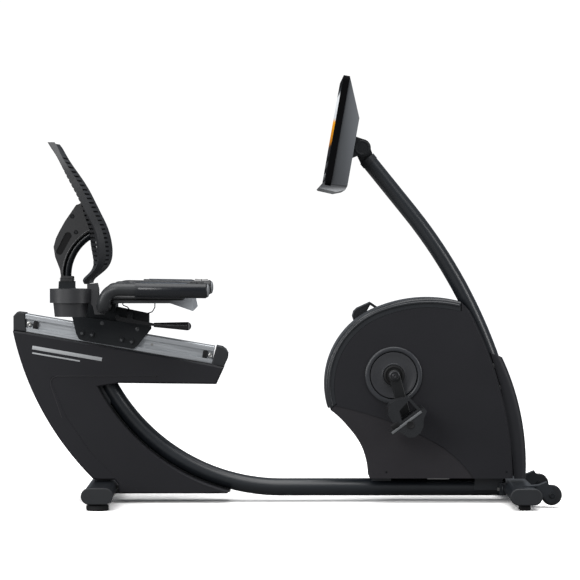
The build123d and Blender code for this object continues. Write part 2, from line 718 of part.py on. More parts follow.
with BuildPart() as lower_panels:
    add(lower_panel_right.part)
    add(panel_left_half)
keep(lower_panels, "lower_panels")

# ---------------------------------------------------------------- drive train
with BuildPart() as bearings:
    for start in (-31.0, 19.0):
        with BuildSketch(side(-start - 12)):
            with Locations(CRANK):
                Circle(17.5)
                Circle(10 + FIT, mode=Mode.SUBTRACT)
        extrude(amount=12)
keep(bearings, "bearings")

AXLE_HALF = 108.0
with BuildPart() as crank_axle:
    with BuildSketch(side()):
        with Locations(CRANK):
            Circle(10)
    extrude(amount=AXLE_HALF, both=True)
    for start in (-AXLE_HALF - 5, AXLE_HALF):
        with BuildSketch(side(-start - 5)):
            with Locations(CRANK):
                Circle(11.5)
        extrude(amount=5)
    with BuildSketch(side(-BELT_Y - 6)):
        with Locations(CRANK):
            Circle(PULLEY_RADIUS)
            Circle(PULLEY_RADIUS - 8, mode=Mode.SUBTRACT)
    extrude(amount=12)
    with BuildSketch(side(-BELT_Y - 2)):
        with Locations(CRANK):
            Circle(PULLEY_RADIUS - 4)
            with PolarLocations(60, 5):
                Circle(20, mode=Mode.SUBTRACT)
    extrude(amount=4)
    with BuildSketch(side(-BELT_Y - 8)):
        with Locations(CRANK):
            Circle(20)
    extrude(amount=14)
keep(crank_axle, "crank_axle")

ARM_INNER, ARM_THICK = 92.0, 14.0
lean = radians(CRANK_LEAN)
PEDAL_AXIS_RIGHT = (CRANK[0] + CRANK_LENGTH * sin(lean), CRANK[1] - CRANK_LENGTH * cos(lean))
PEDAL_AXIS_LEFT = (CRANK[0] - CRANK_LENGTH * sin(lean), CRANK[1] + CRANK_LENGTH * cos(lean))
CRANK_SETS = (
    (-1, "crank_arm_right", PEDAL_AXIS_RIGHT),
    (1, "crank_arm_left", PEDAL_AXIS_LEFT),
)
for hand, arm_name, pedal_axis in CRANK_SETS:
    outer = side(ARM_INNER) if hand < 0 else side(-ARM_INNER - ARM_THICK)
    pin_plane = side(ARM_INNER + 4) if hand < 0 else side(-PEDAL_OUTER_Y + 8)
    with BuildPart() as crank_arm:
        with BuildSketch(outer):
            with BuildLine() as arm_edges:
                CenterArc(CRANK, 16, 0, 360)
            with BuildLine() as tip_edges:
                CenterArc(pedal_axis, 13, 0, 360)
            make_hull(arm_edges.edges() + tip_edges.edges())
        extrude(amount=ARM_THICK)
        fillet(crank_arm.edges().filter_by(Plane.XZ), 2.5)
        with BuildSketch(outer):
            with Locations(CRANK):
                Circle(10)
        extrude(amount=ARM_THICK, mode=Mode.SUBTRACT)
        with BuildSketch(pin_plane):
            with Locations(pedal_axis):
                Circle(7)
        extrude(amount=PEDAL_OUTER_Y - 12 - ARM_INNER)
    keep(crank_arm, arm_name)

with BuildPart() as crank_discs:
    for hand in (-1, 1):
        with BuildSketch(side(SHIELD_HALF - 2 if hand < 0 else -SHIELD_HALF - 4)):
            with Locations(CRANK):
                Circle(DISC_RADIUS)
                Circle(DISC_HOLE, mode=Mode.SUBTRACT)
        extrude(amount=6)
        with BuildSketch(side(SHIELD_HALF - 4 if hand < 0 else -SHIELD_HALF + 1)):
            with Locations(CRANK):
                Circle(DISC_HOLE + 3)
                Circle(10, mode=Mode.SUBTRACT)
        extrude(amount=3)
keep(crank_discs, "crank_discs")


def tilted(axis, tilt, points):
    """Points given along and above a foot plate, set in the side view about its spindle."""
    turn = radians(tilt)
    return [(axis[0] + forward * cos(turn) - up * sin(turn), axis[1] + forward * sin(turn) + up * cos(turn))
            for forward, up in points]


def pedal_outline(axis, tilt):
    """Side outline of a pedal's foot plate, body and counterweight."""
    Polyline(*tilted(axis, tilt, ((-55, 7), (-55, 14), (46, 14), (57, 16), (57, 2), (38, -9), (24, -26),
             (8, -34), (-10, -34), (-24, -25), (-34, 2))), close=True)


def strap_outline(axis, tilt):
    """Side outline of a pedal's strap, a wide band over the foot."""
    Polyline(*tilted(axis, tilt, ((-36, 12), (-32, 54), (-21, 71), (-8, 77), (5, 75.5), (42, 58), (47, 12))),
             close=True)


def toe_tunnel(axis, tilt):
    """Side outline of the space for the shoe under a pedal's strap, open fore and aft."""
    Polyline(*tilted(axis, tilt, ((-70, 14), (-70, 30), (-29, 52.5), (-19, 68), (-7.5, 73.5), (5, 72),
             (42, 54.5), (70, 40), (70, 14))), close=True)


def strap_window(axis, tilt):
    """Side outline of the gap between a strap's rear and front legs."""
    Polyline(*tilted(axis, tilt, ((-2, 47), (35, 54), (39, 21), (-12, 21))), close=True)


for hand, pedal_name, axis, tilt in ((-1, "pedal_right", PEDAL_AXIS_RIGHT, PEDAL_TILT_RIGHT),
                                     (1, "pedal_left", PEDAL_AXIS_LEFT, PEDAL_TILT_LEFT)):
    start = PEDAL_INNER_Y if hand < 0 else -PEDAL_OUTER_Y
    width = PEDAL_OUTER_Y - PEDAL_INNER_Y
    with BuildPart() as pedal:
        with BuildSketch(side(start)):
            with BuildLine():
                pedal_outline(axis, tilt)
            make_face()
        extrude(amount=width)
        with BuildSketch(side(start + 4)):
            with BuildLine():
                strap_outline(axis, tilt)
            make_face()
        extrude(amount=width - 8)
        with BuildSketch(side(start + 7)):
            with BuildLine():
                toe_tunnel(axis, tilt)
            make_face()
        extrude(amount=width - 14, mode=Mode.SUBTRACT)
        with BuildSketch(side(start)):
            with BuildLine():
                strap_window(axis, tilt)
            make_face()
        extrude(amount=width, mode=Mode.SUBTRACT)
        with BuildSketch(side(start)):
            with Locations(axis):
                Circle(7 + FIT)
        extrude(amount=width, mode=Mode.SUBTRACT)
    pedal_solids = pedal.part.solids().sort_by(SortBy.VOLUME)
    with BuildPart() as pedal_clean:
        add(pedal_solids[-1])
    keep(pedal_clean, pedal_name)

with BuildPart() as flywheel:
    with BuildSketch(side(-17)):
        with Locations(FLYWHEEL):
            Circle(FLYWHEEL_RADIUS)
            Circle(78, mode=Mode.SUBTRACT)
    extrude(amount=34)
    with BuildSketch(side(-5)):
        with Locations(FLYWHEEL):
            Circle(80)
            with PolarLocations(50, 6):
                Circle(12, mode=Mode.SUBTRACT)
    extrude(amount=10)
    with BuildSketch(side(-48)):
        with Locations(FLYWHEEL):
            Circle(18)
    extrude(amount=76)
    with BuildSketch(side(-BELT_Y - 6)):
        with Locations(FLYWHEEL):
            Circle(DRIVEN_RADIUS)
    extrude(amount=12)
    with BuildSketch(side(-50)):
        with Locations(FLYWHEEL):
            Circle(AXLE_RADIUS + FIT)
    extrude(amount=90, mode=Mode.SUBTRACT)
keep(flywheel, "flywheel")

with BuildPart() as drive_belt:
    for grow, mode in ((AIR + BELT_THICK, Mode.ADD), (AIR, Mode.SUBTRACT)):
        with BuildSketch(side(-BELT_Y - BELT_WIDTH / 2)):
            with BuildLine() as big_run:
                CenterArc(CRANK, PULLEY_RADIUS + grow, 0, 360)
            with BuildLine() as small_run:
                CenterArc(FLYWHEEL, DRIVEN_RADIUS + grow, 0, 360)
            make_hull(big_run.edges() + small_run.edges())
        extrude(amount=BELT_WIDTH, mode=mode)
keep(drive_belt, "drive_belt")

ARM_PIVOT = (538.0, 240.0)
with BuildPart() as magnet_arm:
    with BuildSketch(side(-23)):
        with BuildLine():
            CenterArc(FLYWHEEL, FLYWHEEL_RADIUS + 12, 24, 50)
            CenterArc(FLYWHEEL, FLYWHEEL_RADIUS - 20, 24, 50)
            for angle in (24, 74):
                ray = (cos(radians(angle)), sin(radians(angle)))
                Line((FLYWHEEL[0] + (FLYWHEEL_RADIUS + 12) * ray[0],
                     FLYWHEEL[1] + (FLYWHEEL_RADIUS + 12) * ray[1]),
                     (FLYWHEEL[0] + (FLYWHEEL_RADIUS - 20) * ray[0],
                     FLYWHEEL[1] + (FLYWHEEL_RADIUS - 20) * ray[1]))
        make_face()
        with BuildLine() as arm_hub:
            CenterArc(ARM_PIVOT, 9, 0, 360)
        with BuildLine() as arm_root:
            CenterArc((FLYWHEEL[0] + 110, FLYWHEEL[1] + 52), 5, 0, 360)
        make_hull(arm_hub.edges() + arm_root.edges())
    extrude(amount=46)
    with BuildSketch(side(-20)):
        with Locations(FLYWHEEL):
            Circle(FLYWHEEL_RADIUS + 4)
    extrude(amount=40, mode=Mode.SUBTRACT)
    with BuildSketch(side(-34)):
        with Locations(ARM_PIVOT):
            Circle(4)
    extrude(amount=68)
keep(magnet_arm, "magnet_arm")

with BuildPart() as electrics:
    with BuildSketch(side(-18)):
        with Locations((512, 83)):
            RectangleRounded(34, 30, 3)
    extrude(amount=36)
    with BuildSketch(side(-16)):
        with Locations((340, 75)):
            Rectangle(70, 4)
    extrude(amount=40)
    with BuildSketch(side(-6)):
        with Locations((653, 105)):
            Rectangle(12, 12 - 2 * AIR)
    extrude(amount=12)
keep(electrics, "electrics")

# ---------------------------------------------------------------- seat carriage on the rail
rail_top_clear = 4.0
PLATE = ((-582.5, 511.5), (-571.5, 464), (-564, 449), (-553, 444.5), (-415, 421.5), (-404, 430),
         (-369.5, 474), (-369.5, 487))
roller_centres = [rail_at(x, RAIL_DEPTH / 2) for x in ROLLER_X]
PADS = (-529.0, -448.0)
pad_centres = [rail_at(x, RAIL_DEPTH / 2) for x in PADS]
WEB_TOP = ((-582.5, 514), (-369.5, 489))

with BuildPart() as carriage:
    with BuildSketch(side(CARRIAGE_INNER)):
        with BuildLine():
            Polyline(*PLATE, close=True)
        make_face()
        fillet(vertices().group_by(Axis.Y)[0], 5)
        with Locations(*roller_centres, *pad_centres):
            Circle(4, mode=Mode.SUBTRACT)
    extrude(amount=CARRIAGE_GAUGE)
    far_plate = mirror(carriage.part, about=Plane.XZ, mode=Mode.PRIVATE)
    add(far_plate)
    with BuildSketch(side()):
        with BuildLine():
            Polyline((-582.5, 507), (-369.5, 482), (-369.5, 487), (-582.5, 512), close=True)
        make_face()
    extrude(amount=CARRIAGE_INNER + CARRIAGE_GAUGE, both=True)
    with BuildSketch(Plane.XY.offset(460)):
        with Locations((LEVER_PIVOT[0], 0)):
            Rectangle(52, 26)
    extrude(amount=60, mode=Mode.SUBTRACT)
keep(carriage, "carriage")

with BuildPart() as carriage_bolts:
    for hand in (-1, 1):
        for centre in roller_centres:
            with BuildSketch(side(25.5 if hand < 0 else -46)):
                with Locations(centre):
                    Circle(4)
            extrude(amount=20.5)
            with BuildSketch(side(46 if hand < 0 else -50)):
                with Locations(centre):
                    Circle(7.5)
            extrude(amount=4)
        for centre in pad_centres:
            with BuildSketch(side(37.5 if hand < 0 else -46)):
                with Locations(centre):
                    Circle(4)
            extrude(amount=8.5)
            with BuildSketch(side(46 if hand < 0 else -50)):
                with Locations(centre):
                    Circle(7.5)
            extrude(amount=4)
            with BuildSketch(side(26 if hand < 0 else -37.5)):
                with Locations(centre):
                    RectangleRounded(24, 20, 3, rotation=-RAIL_SLOPE)
            extrude(amount=11.5)
keep(carriage_bolts, "carriage_bolts")

for centre, roller_name in zip(roller_centres, ("rollers_rear", "rollers_front")):
    with BuildPart() as rollers:
        for start in (26.0, -37.0):
            with BuildSketch(side(start)):
                with Locations(centre):
                    Circle(ROLLER_RADIUS)
                    Circle(4 + FIT, mode=Mode.SUBTRACT)
            extrude(amount=11)
    keep(rollers, roller_name)

with BuildPart() as seat_frame:
    with BuildSketch(side()):
        with BuildLine():
            Polyline((-374, 487.8), (-374, 517.6), (-478, 539.4), (-566, 560), (-578, 590), (-578, 606.5),
                     (-620, 606.5), (-622, 560), (-606, 532), (-576, 511.5), close=True)
        make_face()
    extrude(amount=30, both=True)
    with BuildSketch(side()):
        with BuildLine():
            Polyline((-512, 533), (-462, 523), (-462, 550), (-474, 550), (-500, 562), (-512, 556), close=True)
        make_face()
    extrude(amount=70, both=True)
    with BuildSketch(side()):
        with Locations(CROSS_BAR):
            Circle(BAR_RADIUS)
    extrude(amount=80, both=True, mode=Mode.SUBTRACT)
    with BuildSketch(side()):
        with Locations(LEVER_PIVOT):
            Circle(6 + FIT)
    extrude(amount=40, both=True, mode=Mode.SUBTRACT)
    with BuildSketch(side()):
        with Locations(LEVER_PIVOT):
            Circle(24)
    extrude(amount=12, both=True, mode=Mode.SUBTRACT)
    add(carriage.part, mode=Mode.SUBTRACT)
    frame_solids = seat_frame.solids().sort_by(SortBy.VOLUME)
with BuildPart() as seat_frame_clean:
    add(frame_solids[-1])
keep(seat_frame_clean, "seat_frame")

LEVER_END = (-258.0, 486.0)
with BuildPart() as release_lever:
    with BuildSketch(side(-34)):
        with Locations(LEVER_PIVOT):
            Circle(6)
    extrude(amount=34 + LEVER_Y + 5)
    with BuildSketch(side(-9)):
        with BuildLine() as cam_hub:
            CenterArc(LEVER_PIVOT, 12, 0, 360)
        with BuildLine() as cam_nose:
            CenterArc((LEVER_PIVOT[0] - 4.5, LEVER_PIVOT[1] - 26), 6, 0, 360)
        make_hull(cam_hub.edges() + cam_nose.edges())
    extrude(amount=18)
    with BuildSketch(side(LEVER_Y - 4)):
        with BuildLine():
            Polyline((-462, 512), (-450, 500), (-350, 486), (-350, 493), (-446, 512), (-454, 517), close=True)
        make_face()
    extrude(amount=8)
    with BuildSketch(Plane(origin=(-356, -LEVER_Y, 490), x_dir=(0, 1, 0), z_dir=(1, 0, -0.04))):
        Circle(6)
    with BuildSketch(Plane(origin=(-266, -LEVER_Y, 486.4), x_dir=(0, 1, 0), z_dir=(1, 0, -0.04))):
        Circle(11.5)
    loft()
    with Locations((-266, -LEVER_Y, 486.4)):
        Sphere(11.5)
keep(release_lever, "release_lever")

# ---------------------------------------------------------------- seat, backrest and handlebar
with BuildPart() as seat_pan:
    with BuildSketch(side()):
        with BuildLine():
            Polyline((-464, SEAT_FLOOR), (-309, SEAT_FLOOR), (-248, 529), (-245, 533), (-252, 566),
                     (-262, 578), (-272, 558), (-464, 558), close=True)
        make_face()
    extrude(amount=SEAT_HALF - 4, both=True)
    fillet(seat_pan.edges().filter_by(Axis.Z).group_by(Axis.X)[0], 12)
keep(seat_pan, "seat_pan")

with BuildPart() as seat_cushion:
    with BuildSketch(side()):
        with BuildLine():
            Polyline((-496, 566), (-464, 560), (-464, 558.5), (-274, 558.5), (-264, 578.5), (-262, 584),
                     (-268, 594),
                     (-290, SEAT_TOP), (-440, SEAT_TOP), (-480, SEAT_TOP + 1), (-496, 590), close=True)
        make_face()
    extrude(amount=SEAT_HALF, both=True)
    fillet(seat_cushion.edges().filter_by(Plane.XZ).group_by(Axis.Y)[0].sort_by(Axis.Z)[-4:], 8)
    fillet(seat_cushion.edges().filter_by(Plane.XZ).group_by(Axis.Y)[-1].sort_by(Axis.Z)[-4:], 8)
keep(seat_cushion, "seat_cushion")

HANDLE_ENDS = (-214.0, 585.0)
HANDLE_KNEE = (-471.6, 589.0)
with BuildPart() as handlebar:
    with BuildLine() as handle_run:
        FilletPolyline((HANDLE_ENDS[0], -GRIP_Y, HANDLE_ENDS[1]), (HANDLE_KNEE[0], -GRIP_Y, HANDLE_KNEE[1]),
                       (CROSS_BAR[0], -GRIP_Y + 10, CROSS_BAR[1]), (CROSS_BAR[0], GRIP_Y - 10, CROSS_BAR[1]),
                       (HANDLE_KNEE[0], GRIP_Y, HANDLE_KNEE[1]), (HANDLE_ENDS[0], GRIP_Y, HANDLE_ENDS[1]),
                       radius=[38, 21, 21, 38])
    handle_start = handle_run.wires()[0]
    with BuildSketch(Plane(origin=handle_start @ 0, z_dir=handle_start % 0)):
        Circle(BAR_RADIUS)
        Circle(BAR_RADIUS - 2, mode=Mode.SUBTRACT)
    sweep(path=handle_start)
keep(handlebar, "handlebar")

grip_axis = (HANDLE_ENDS[0] - HANDLE_KNEE[0], 0, HANDLE_ENDS[1] - HANDLE_KNEE[1])
BUTTON_X = (-256.0, -216.0)
with BuildPart() as grips:
    for hand in (-1, 1):
        with BuildSketch(Plane(origin=(-400, hand * GRIP_Y, 587.9), x_dir=(0, 1, 0), z_dir=grip_axis)):
            RectangleRounded(2 * GRIP_RADIUS, 2 * GRIP_RADIUS, GRIP_RADIUS - 1)
        extrude(amount=192)
    fillet(grips.edges().group_by(Axis.X)[-1], 6)
    for hand in (-1, 1):
        with BuildSketch(Plane(origin=(-410, hand * GRIP_Y, 588.05), x_dir=(0, 1, 0), z_dir=grip_axis)):
            Circle(BAR_RADIUS + 0.03)
        extrude(amount=196.3, mode=Mode.SUBTRACT)
        with Locations(((BUTTON_X[0] + BUTTON_X[1]) / 2, hand * GRIP_Y, 607)):
            Box(41, 19, 5, mode=Mode.SUBTRACT)
keep(grips, "grips")

for hand, rocker_name in ((-1, "grip_button_right"), (1, "grip_button_left")):
    with BuildPart() as rocker:
        with BuildSketch(side(-hand * GRIP_Y)):
            with BuildLine():
                Polyline((-254.5, 606.4), (-217.5, 606.4), (-217.5, 608.2), (-236, 607.4),
                         (-254.5, 608.6), close=True)
            make_face()
            with Locations((-236, 606.6)):
                Circle(1.6)
        extrude(amount=9, both=True)
    keep(rocker, rocker_name)

# Backrest shell: C-shaped sections, each (height, rear of rim, front of rim, wrap depth, half width)
BACK_SECTIONS = (
    (600, -545, -533, 4, 105),
    (626, -527, -512, 14, 130),
    (661, -504, -486, 22, 152),
    (692, -501, -483, 30, 160),
    (736, -508, -490.5, 28, 162),
    (780, -528, -508, 20, 162),
    (824, -550, -530, 12, 162),
    (868, -573, -553, 11, 160),
    (912, -598, -582, 8, 150),
    (950, -620, -606, 6, 125),
    (985, -645, -626, 3, 92),
)
SHELL_THICK = 13.0
with BuildPart() as back_shell:
    for height, rear, front, wrap, half in BACK_SECTIONS:
        with BuildSketch(Plane.XY.offset(height)):
            with BuildLine():
                ThreePointArc((rear, -half), (rear - wrap, 0), (rear, half))
                Line((rear, half), (front, half))
                ThreePointArc((front, half), (rear - wrap + SHELL_THICK, 0), (front, -half))
                Line((front, -half), (rear, -half))
            make_face()
    loft()


def half_width(height):
    """Half the shell's width at a height, between the two nearest sections."""
    for low, high in zip(BACK_SECTIONS, BACK_SECTIONS[1:]):
        if low[0] <= height <= high[0]:
            share = (height - low[0]) / (high[0] - low[0])
            return low[4] + share * (high[4] - low[4])


SLOT_ROWS, SLOT_PITCH, SLOT_HEIGHT, SLOT_LOW = 25, 12.2, 5.0, 652.0
SPINE_HALF, RIM_WIDTH = 12.0, 20.0
with BuildPart() as backrest:
    add(back_shell.part)
    for row in range(SLOT_ROWS):
        slot_z = SLOT_LOW + row * SLOT_PITCH
        reach = half_width(slot_z) - RIM_WIDTH
        middle = (reach + SPINE_HALF) / 2
        with Locations((-540, middle, slot_z), (-540, -middle, slot_z)):
            Box(300, reach - SPINE_HALF, SLOT_HEIGHT, mode=Mode.SUBTRACT)
keep(backrest, "backrest")

with BuildPart() as back_post:
    with BuildLine(side()) as post_run:
        Line((POST_X, 606.5), (POST_X, POST_BEND_Z))
        CenterArc((POST_X + POST_RADIUS, POST_BEND_Z), POST_RADIUS, 180, -62)
    with BuildSketch(Plane.XY.offset(606.5)):
        with Locations((POST_X, 0)):
            Ellipse(12, 24)
    sweep(path=post_run.wires()[0])
    add(back_shell.part, mode=Mode.SUBTRACT)
    post_solids = back_post.solids().sort_by(SortBy.VOLUME)
with BuildPart() as back_post_clean:
    add(post_solids[-1])
keep(back_post_clean, "back_post")

with BuildPart() as back_bracket:
    with BuildSketch(side()):
        with BuildLine():
            ThreePointArc((-607, POST_BEND_Z), (-588.5, 691), (-529.5, 746))
            Polyline((-529.5, 746), (-545, 800), (-553, 822), (-572, 815.5), (-602, 771.8), (-616, 747),
                     (-627, 725),
                     (-633.7, 700.7), (-629.6, 673.3), (-616, 637.7), (-614, 622), (-616, 606.5),
                     (-582, 606.5), (-582, 620), (-607, POST_BEND_Z))
        make_face()
    extrude(amount=33, both=True)
    for recess_side in (side(30.5), side(-33)):
        with BuildSketch(recess_side):
            with BuildLine() as recess_top:
                CenterArc((-594, 731), 10, 0, 360)
            with BuildLine() as recess_low:
                CenterArc((-617, 688), 9, 0, 360)
            make_hull(recess_top.edges() + recess_low.edges())
            with Locations((-582, 784), (-572, 740.6)):
                Circle(6)
        extrude(amount=2.5, mode=Mode.SUBTRACT)
    add(back_shell.part, mode=Mode.SUBTRACT)
    add(back_post_clean.part, mode=Mode.SUBTRACT)
    bracket_solids = back_bracket.solids().sort_by(SortBy.VOLUME)
with BuildPart() as back_bracket_clean:
    add(bracket_solids[-1])
keep(back_bracket_clean, "back_bracket")

holder_z = (514.8, 552.0, 589.5)
with BuildPart() as bottle_holder:
    with BuildSketch(Plane.XY.offset(holder_z[0])):
        with Locations(HOLDER):
            Circle(HOLDER_BORE)
    with BuildSketch(Plane.XY.offset(holder_z[1])):
        with Locations(HOLDER):
            Circle(HOLDER_BORE + 4)
    loft()
    with BuildSketch(Plane.XY.offset(holder_z[1])):
        with Locations(HOLDER):
            Circle(HOLDER_RADIUS)
    extrude(amount=holder_z[2] - holder_z[1])
    with BuildSketch(side(-HOLDER[1] - 25)):
        with BuildLine():
            Polyline((-530, 556), (-530, 602), (-503, 605), (-499, 588), (-499, 562), (-484, 556),
                     (-484, 521), (-510, 521), (-515, 544), close=True)
        make_face()
    extrude(amount=36)
    with BuildSketch(Plane.XY.offset(holder_z[0] + 4)):
        with Locations(HOLDER):
            Circle(HOLDER_BORE - 4)
    extrude(amount=100, mode=Mode.SUBTRACT)
    with BuildSketch(side(-HOLDER[1] - 30)):
        with Locations(CROSS_BAR):
            Circle(BAR_RADIUS)
    extrude(amount=50, mode=Mode.SUBTRACT)
    holder_solids = bottle_holder.solids().sort_by(SortBy.VOLUME)
with BuildPart() as bottle_holder_clean:
    add(holder_solids[-1])
keep(bottle_holder_clean, "bottle_holder")

LEADS = (
    ((-445, -24, 549.9), (-445, -24, 541), (-432, -24, 536), (-424, -24, 526)),
    ((-357, -24, 549.9), (-357, -24, 535), (-364, -24, 523), (-378, -24, 518)),
)
with BuildPart() as pulse_leads:
    for route in LEADS:
        with BuildLine() as lead_run:
            FilletPolyline(*route, radius=[5, 5])
        lead_wire = lead_run.wires()[0]
        with BuildSketch(Plane(origin=lead_wire @ 0, z_dir=lead_wire % 0)):
            Circle(1.5)
        sweep(path=lead_wire)
    add(seat_frame_clean.part, mode=Mode.SUBTRACT)
    lead_solids = [piece for piece in pulse_leads.solids() if piece.volume > 20]
with BuildPart() as pulse_leads_clean:
    for piece in lead_solids:
        add(piece)
keep(pulse_leads_clean, "pulse_leads")

# ---------------------------------------------------------------- console
face_lean = radians(FACE_LEAN)


def on_face(up, back=0.0):
    """Side-view point up the console's face and a depth behind it."""
    return (FACE_BOTTOM[0] + up * sin(face_lean) + back * cos(face_lean),
            FACE_BOTTOM[1] + up * cos(face_lean) - back * sin(face_lean))


face_normal = (-cos(face_lean), 0, sin(face_lean))
face_plane = Plane(origin=(FACE_BOTTOM[0], 0, FACE_BOTTOM[1]), x_dir=(0, -1, 0), z_dir=face_normal)
BUTTONS = ("button_stop", "button_start", "button_menu")
with BuildPart() as console_face:
    with BuildSketch(face_plane):
        with Locations((0, FACE_HEIGHT / 2)):
            RectangleRounded(FACE_WIDTH, FACE_HEIGHT, 16)
    extrude(amount=-FACE_THICK)
    with BuildSketch(face_plane):
        for place in (-1, 0, 1):
            with Locations((place * BUTTON_PITCH, BUTTON_UP)):
                Circle(BUTTON_RADIUS + AIR)
    extrude(amount=-10, mode=Mode.SUBTRACT)
keep(console_face, "console_face")

for place, button_name in zip((-1, 0, 1), BUTTONS):
    with BuildPart() as button:
        with BuildSketch(face_plane.offset(2)):
            with Locations((place * BUTTON_PITCH, BUTTON_UP)):
                Circle(BUTTON_RADIUS)
        extrude(amount=-9)
        chamfer(button.edges().group_by(Axis.X)[0], 0.8)
    keep(button, button_name)

with BuildPart() as console_housing:
    with BuildSketch(side()):
        with BuildLine():
            Polyline(on_face(5, FACE_THICK), on_face(FACE_HEIGHT - 2, FACE_THICK),
                     on_face(192, HOUSING_DEPTH),
                     on_face(8, HOUSING_DEPTH), close=True)
        make_face()
    extrude(amount=FACE_WIDTH / 2 - 4, both=True)
    with BuildSketch(side()):
        with BuildLine():
            Polyline(on_face(9, FACE_THICK), on_face(FACE_HEIGHT - 14, FACE_THICK),
                     on_face(191, HOUSING_DEPTH - 3),
                     on_face(11, HOUSING_DEPTH - 3), close=True)
        make_face()
    extrude(amount=FACE_WIDTH / 2 - 7, both=True, mode=Mode.SUBTRACT)
keep(console_housing, "console_housing")

with BuildPart() as console_chin:
    with BuildSketch(side()):
        with BuildLine():
            Polyline(on_face(0, 0), on_face(0, FACE_THICK), on_face(4.5, FACE_THICK),
                     on_face(7.5, HOUSING_DEPTH),
                     on_face(-4, HOUSING_DEPTH - 4), on_face(-13, 34), on_face(-11, -10), on_face(-8, -13),
                     on_face(12, -0.5), on_face(12, 0), close=True)
        make_face()
    extrude(amount=FACE_WIDTH / 2 - 6, both=True)
    add(console_face.part, mode=Mode.SUBTRACT)
    add(console_housing.part, mode=Mode.SUBTRACT)
    chin_solids = console_chin.solids().sort_by(SortBy.VOLUME)
with BuildPart() as console_chin_clean:
    add(chin_solids[-1])
keep(console_chin_clean, "console_chin")

with BuildPart() as console_knuckle:
    with BuildSketch(side(15.3)):
        with BuildLine():
            Polyline(on_face(150, HOUSING_DEPTH), on_face(88, HOUSING_DEPTH), (200, 951), (214, 951),
                     (222, 993), close=True)
        make_face()
        with Locations(TILT_PIVOT):
            Circle(TILT_RADIUS)
    extrude(amount=13)
    far_ear = mirror(console_knuckle.part, about=Plane.XZ, mode=Mode.PRIVATE)
    add(far_ear)
    with BuildSketch(side()):
        with Locations(TILT_PIVOT):
            Circle(6)
    extrude(amount=28, both=True)
    with BuildSketch(side()):
        with BuildLine():
            Polyline(on_face(150, HOUSING_DEPTH), on_face(88, HOUSING_DEPTH),
                     on_face(88, HOUSING_DEPTH + 1.2),
                     on_face(150, HOUSING_DEPTH + 1.2), close=True)
        make_face()
    extrude(amount=28.3, both=True)
    add(console_housing.part, mode=Mode.SUBTRACT)
keep(console_knuckle, "console_knuckle")

# ---------------------------------------------------------------- fasteners
CHANNEL_FLOOR = RAIL_WIDTH / 2 - CHANNEL_DEPTH
with BuildPart() as frame_screws:
    for hand in (-1, 1):
        with BuildSketch(Plane.YZ.offset(FRONT_BAR[0] - BAR_LENGTH / 2 - 18)):
            with Locations((hand * 41.5, FRONT_BAR[1])):
                RegularPolygon(5.5, 6)
        extrude(amount=6)
        with BuildSketch(side(WHEEL_Y * -hand - BRACKET_SPAN - 5.5)):
            with Locations((WHEEL_X, WHEEL_Z)):
                Circle(4)
        extrude(amount=2 * BRACKET_SPAN + 11)
        with BuildSketch(side(30.3 + 4 if hand < 0 else -38.3)):
            with Locations((572, 376), (590, 316)):
                RegularPolygon(6.5, 6)
        extrude(amount=4)
        for screw_x, head_radius, head in ((-703.0, 4.5, 9.0), (-204.0, 4.5, 9.0), (-365.0, 3.5, 1.2)):
            with BuildSketch(side(CHANNEL_FLOOR if hand < 0 else -CHANNEL_FLOOR - head)):
                with Locations(rail_at(screw_x, RAIL_DEPTH / 2)):
                    Circle(head_radius)
            extrude(amount=head)
    for hand in (-1, 1):
        with BuildSketch(Plane.YZ.offset(REAR_BAR[0] + BAR_LENGTH / 2)):
            with Locations((hand * 15, REAR_BAR[1])):
                RegularPolygon(5.5, 6)
        extrude(amount=5)
keep(frame_screws, "frame_screws")
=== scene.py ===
import json
import math

import bmesh
import bpy
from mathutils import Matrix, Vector


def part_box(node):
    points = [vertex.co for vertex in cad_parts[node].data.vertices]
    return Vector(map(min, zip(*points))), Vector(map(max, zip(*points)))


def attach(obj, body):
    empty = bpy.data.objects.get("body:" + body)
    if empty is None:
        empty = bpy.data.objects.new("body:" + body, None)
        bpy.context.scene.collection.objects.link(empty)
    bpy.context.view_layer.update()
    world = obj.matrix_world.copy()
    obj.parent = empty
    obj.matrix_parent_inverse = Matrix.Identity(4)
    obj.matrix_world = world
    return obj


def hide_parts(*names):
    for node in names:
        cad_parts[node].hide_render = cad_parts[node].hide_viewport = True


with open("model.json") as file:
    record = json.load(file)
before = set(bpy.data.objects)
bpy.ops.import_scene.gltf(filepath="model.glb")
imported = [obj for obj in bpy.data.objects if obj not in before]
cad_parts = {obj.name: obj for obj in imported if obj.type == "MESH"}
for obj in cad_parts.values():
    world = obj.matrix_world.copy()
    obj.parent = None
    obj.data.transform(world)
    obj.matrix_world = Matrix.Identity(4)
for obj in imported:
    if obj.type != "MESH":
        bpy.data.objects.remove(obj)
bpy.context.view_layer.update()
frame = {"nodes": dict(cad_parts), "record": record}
bpy.ops.object.select_all(action="DESELECT")
scene = bpy.context.scene
scene.view_settings.view_transform = "Standard"
CAD = frame["nodes"]
RIGHT, LEFT = -1, 1

# ---- Camera: a long lens at the height of the handlebar's grips, square to the bike's right-hand side,
# with the front wheels towards the right of the picture.
camera_data = bpy.data.cameras.new("side_camera")
camera_data.sensor_width = 36
camera_data.lens = 169.3
camera_data.clip_end = 60
camera = bpy.data.objects.new("side_camera", camera_data)
camera.location = (-0.047, -7.5, 0.728)
aim_point = Vector((0.0135, 0, 0.582))
camera.rotation_euler = (aim_point - camera.location).to_track_quat("-Z", "Y").to_euler()
scene.collection.objects.link(camera)
scene.camera = camera

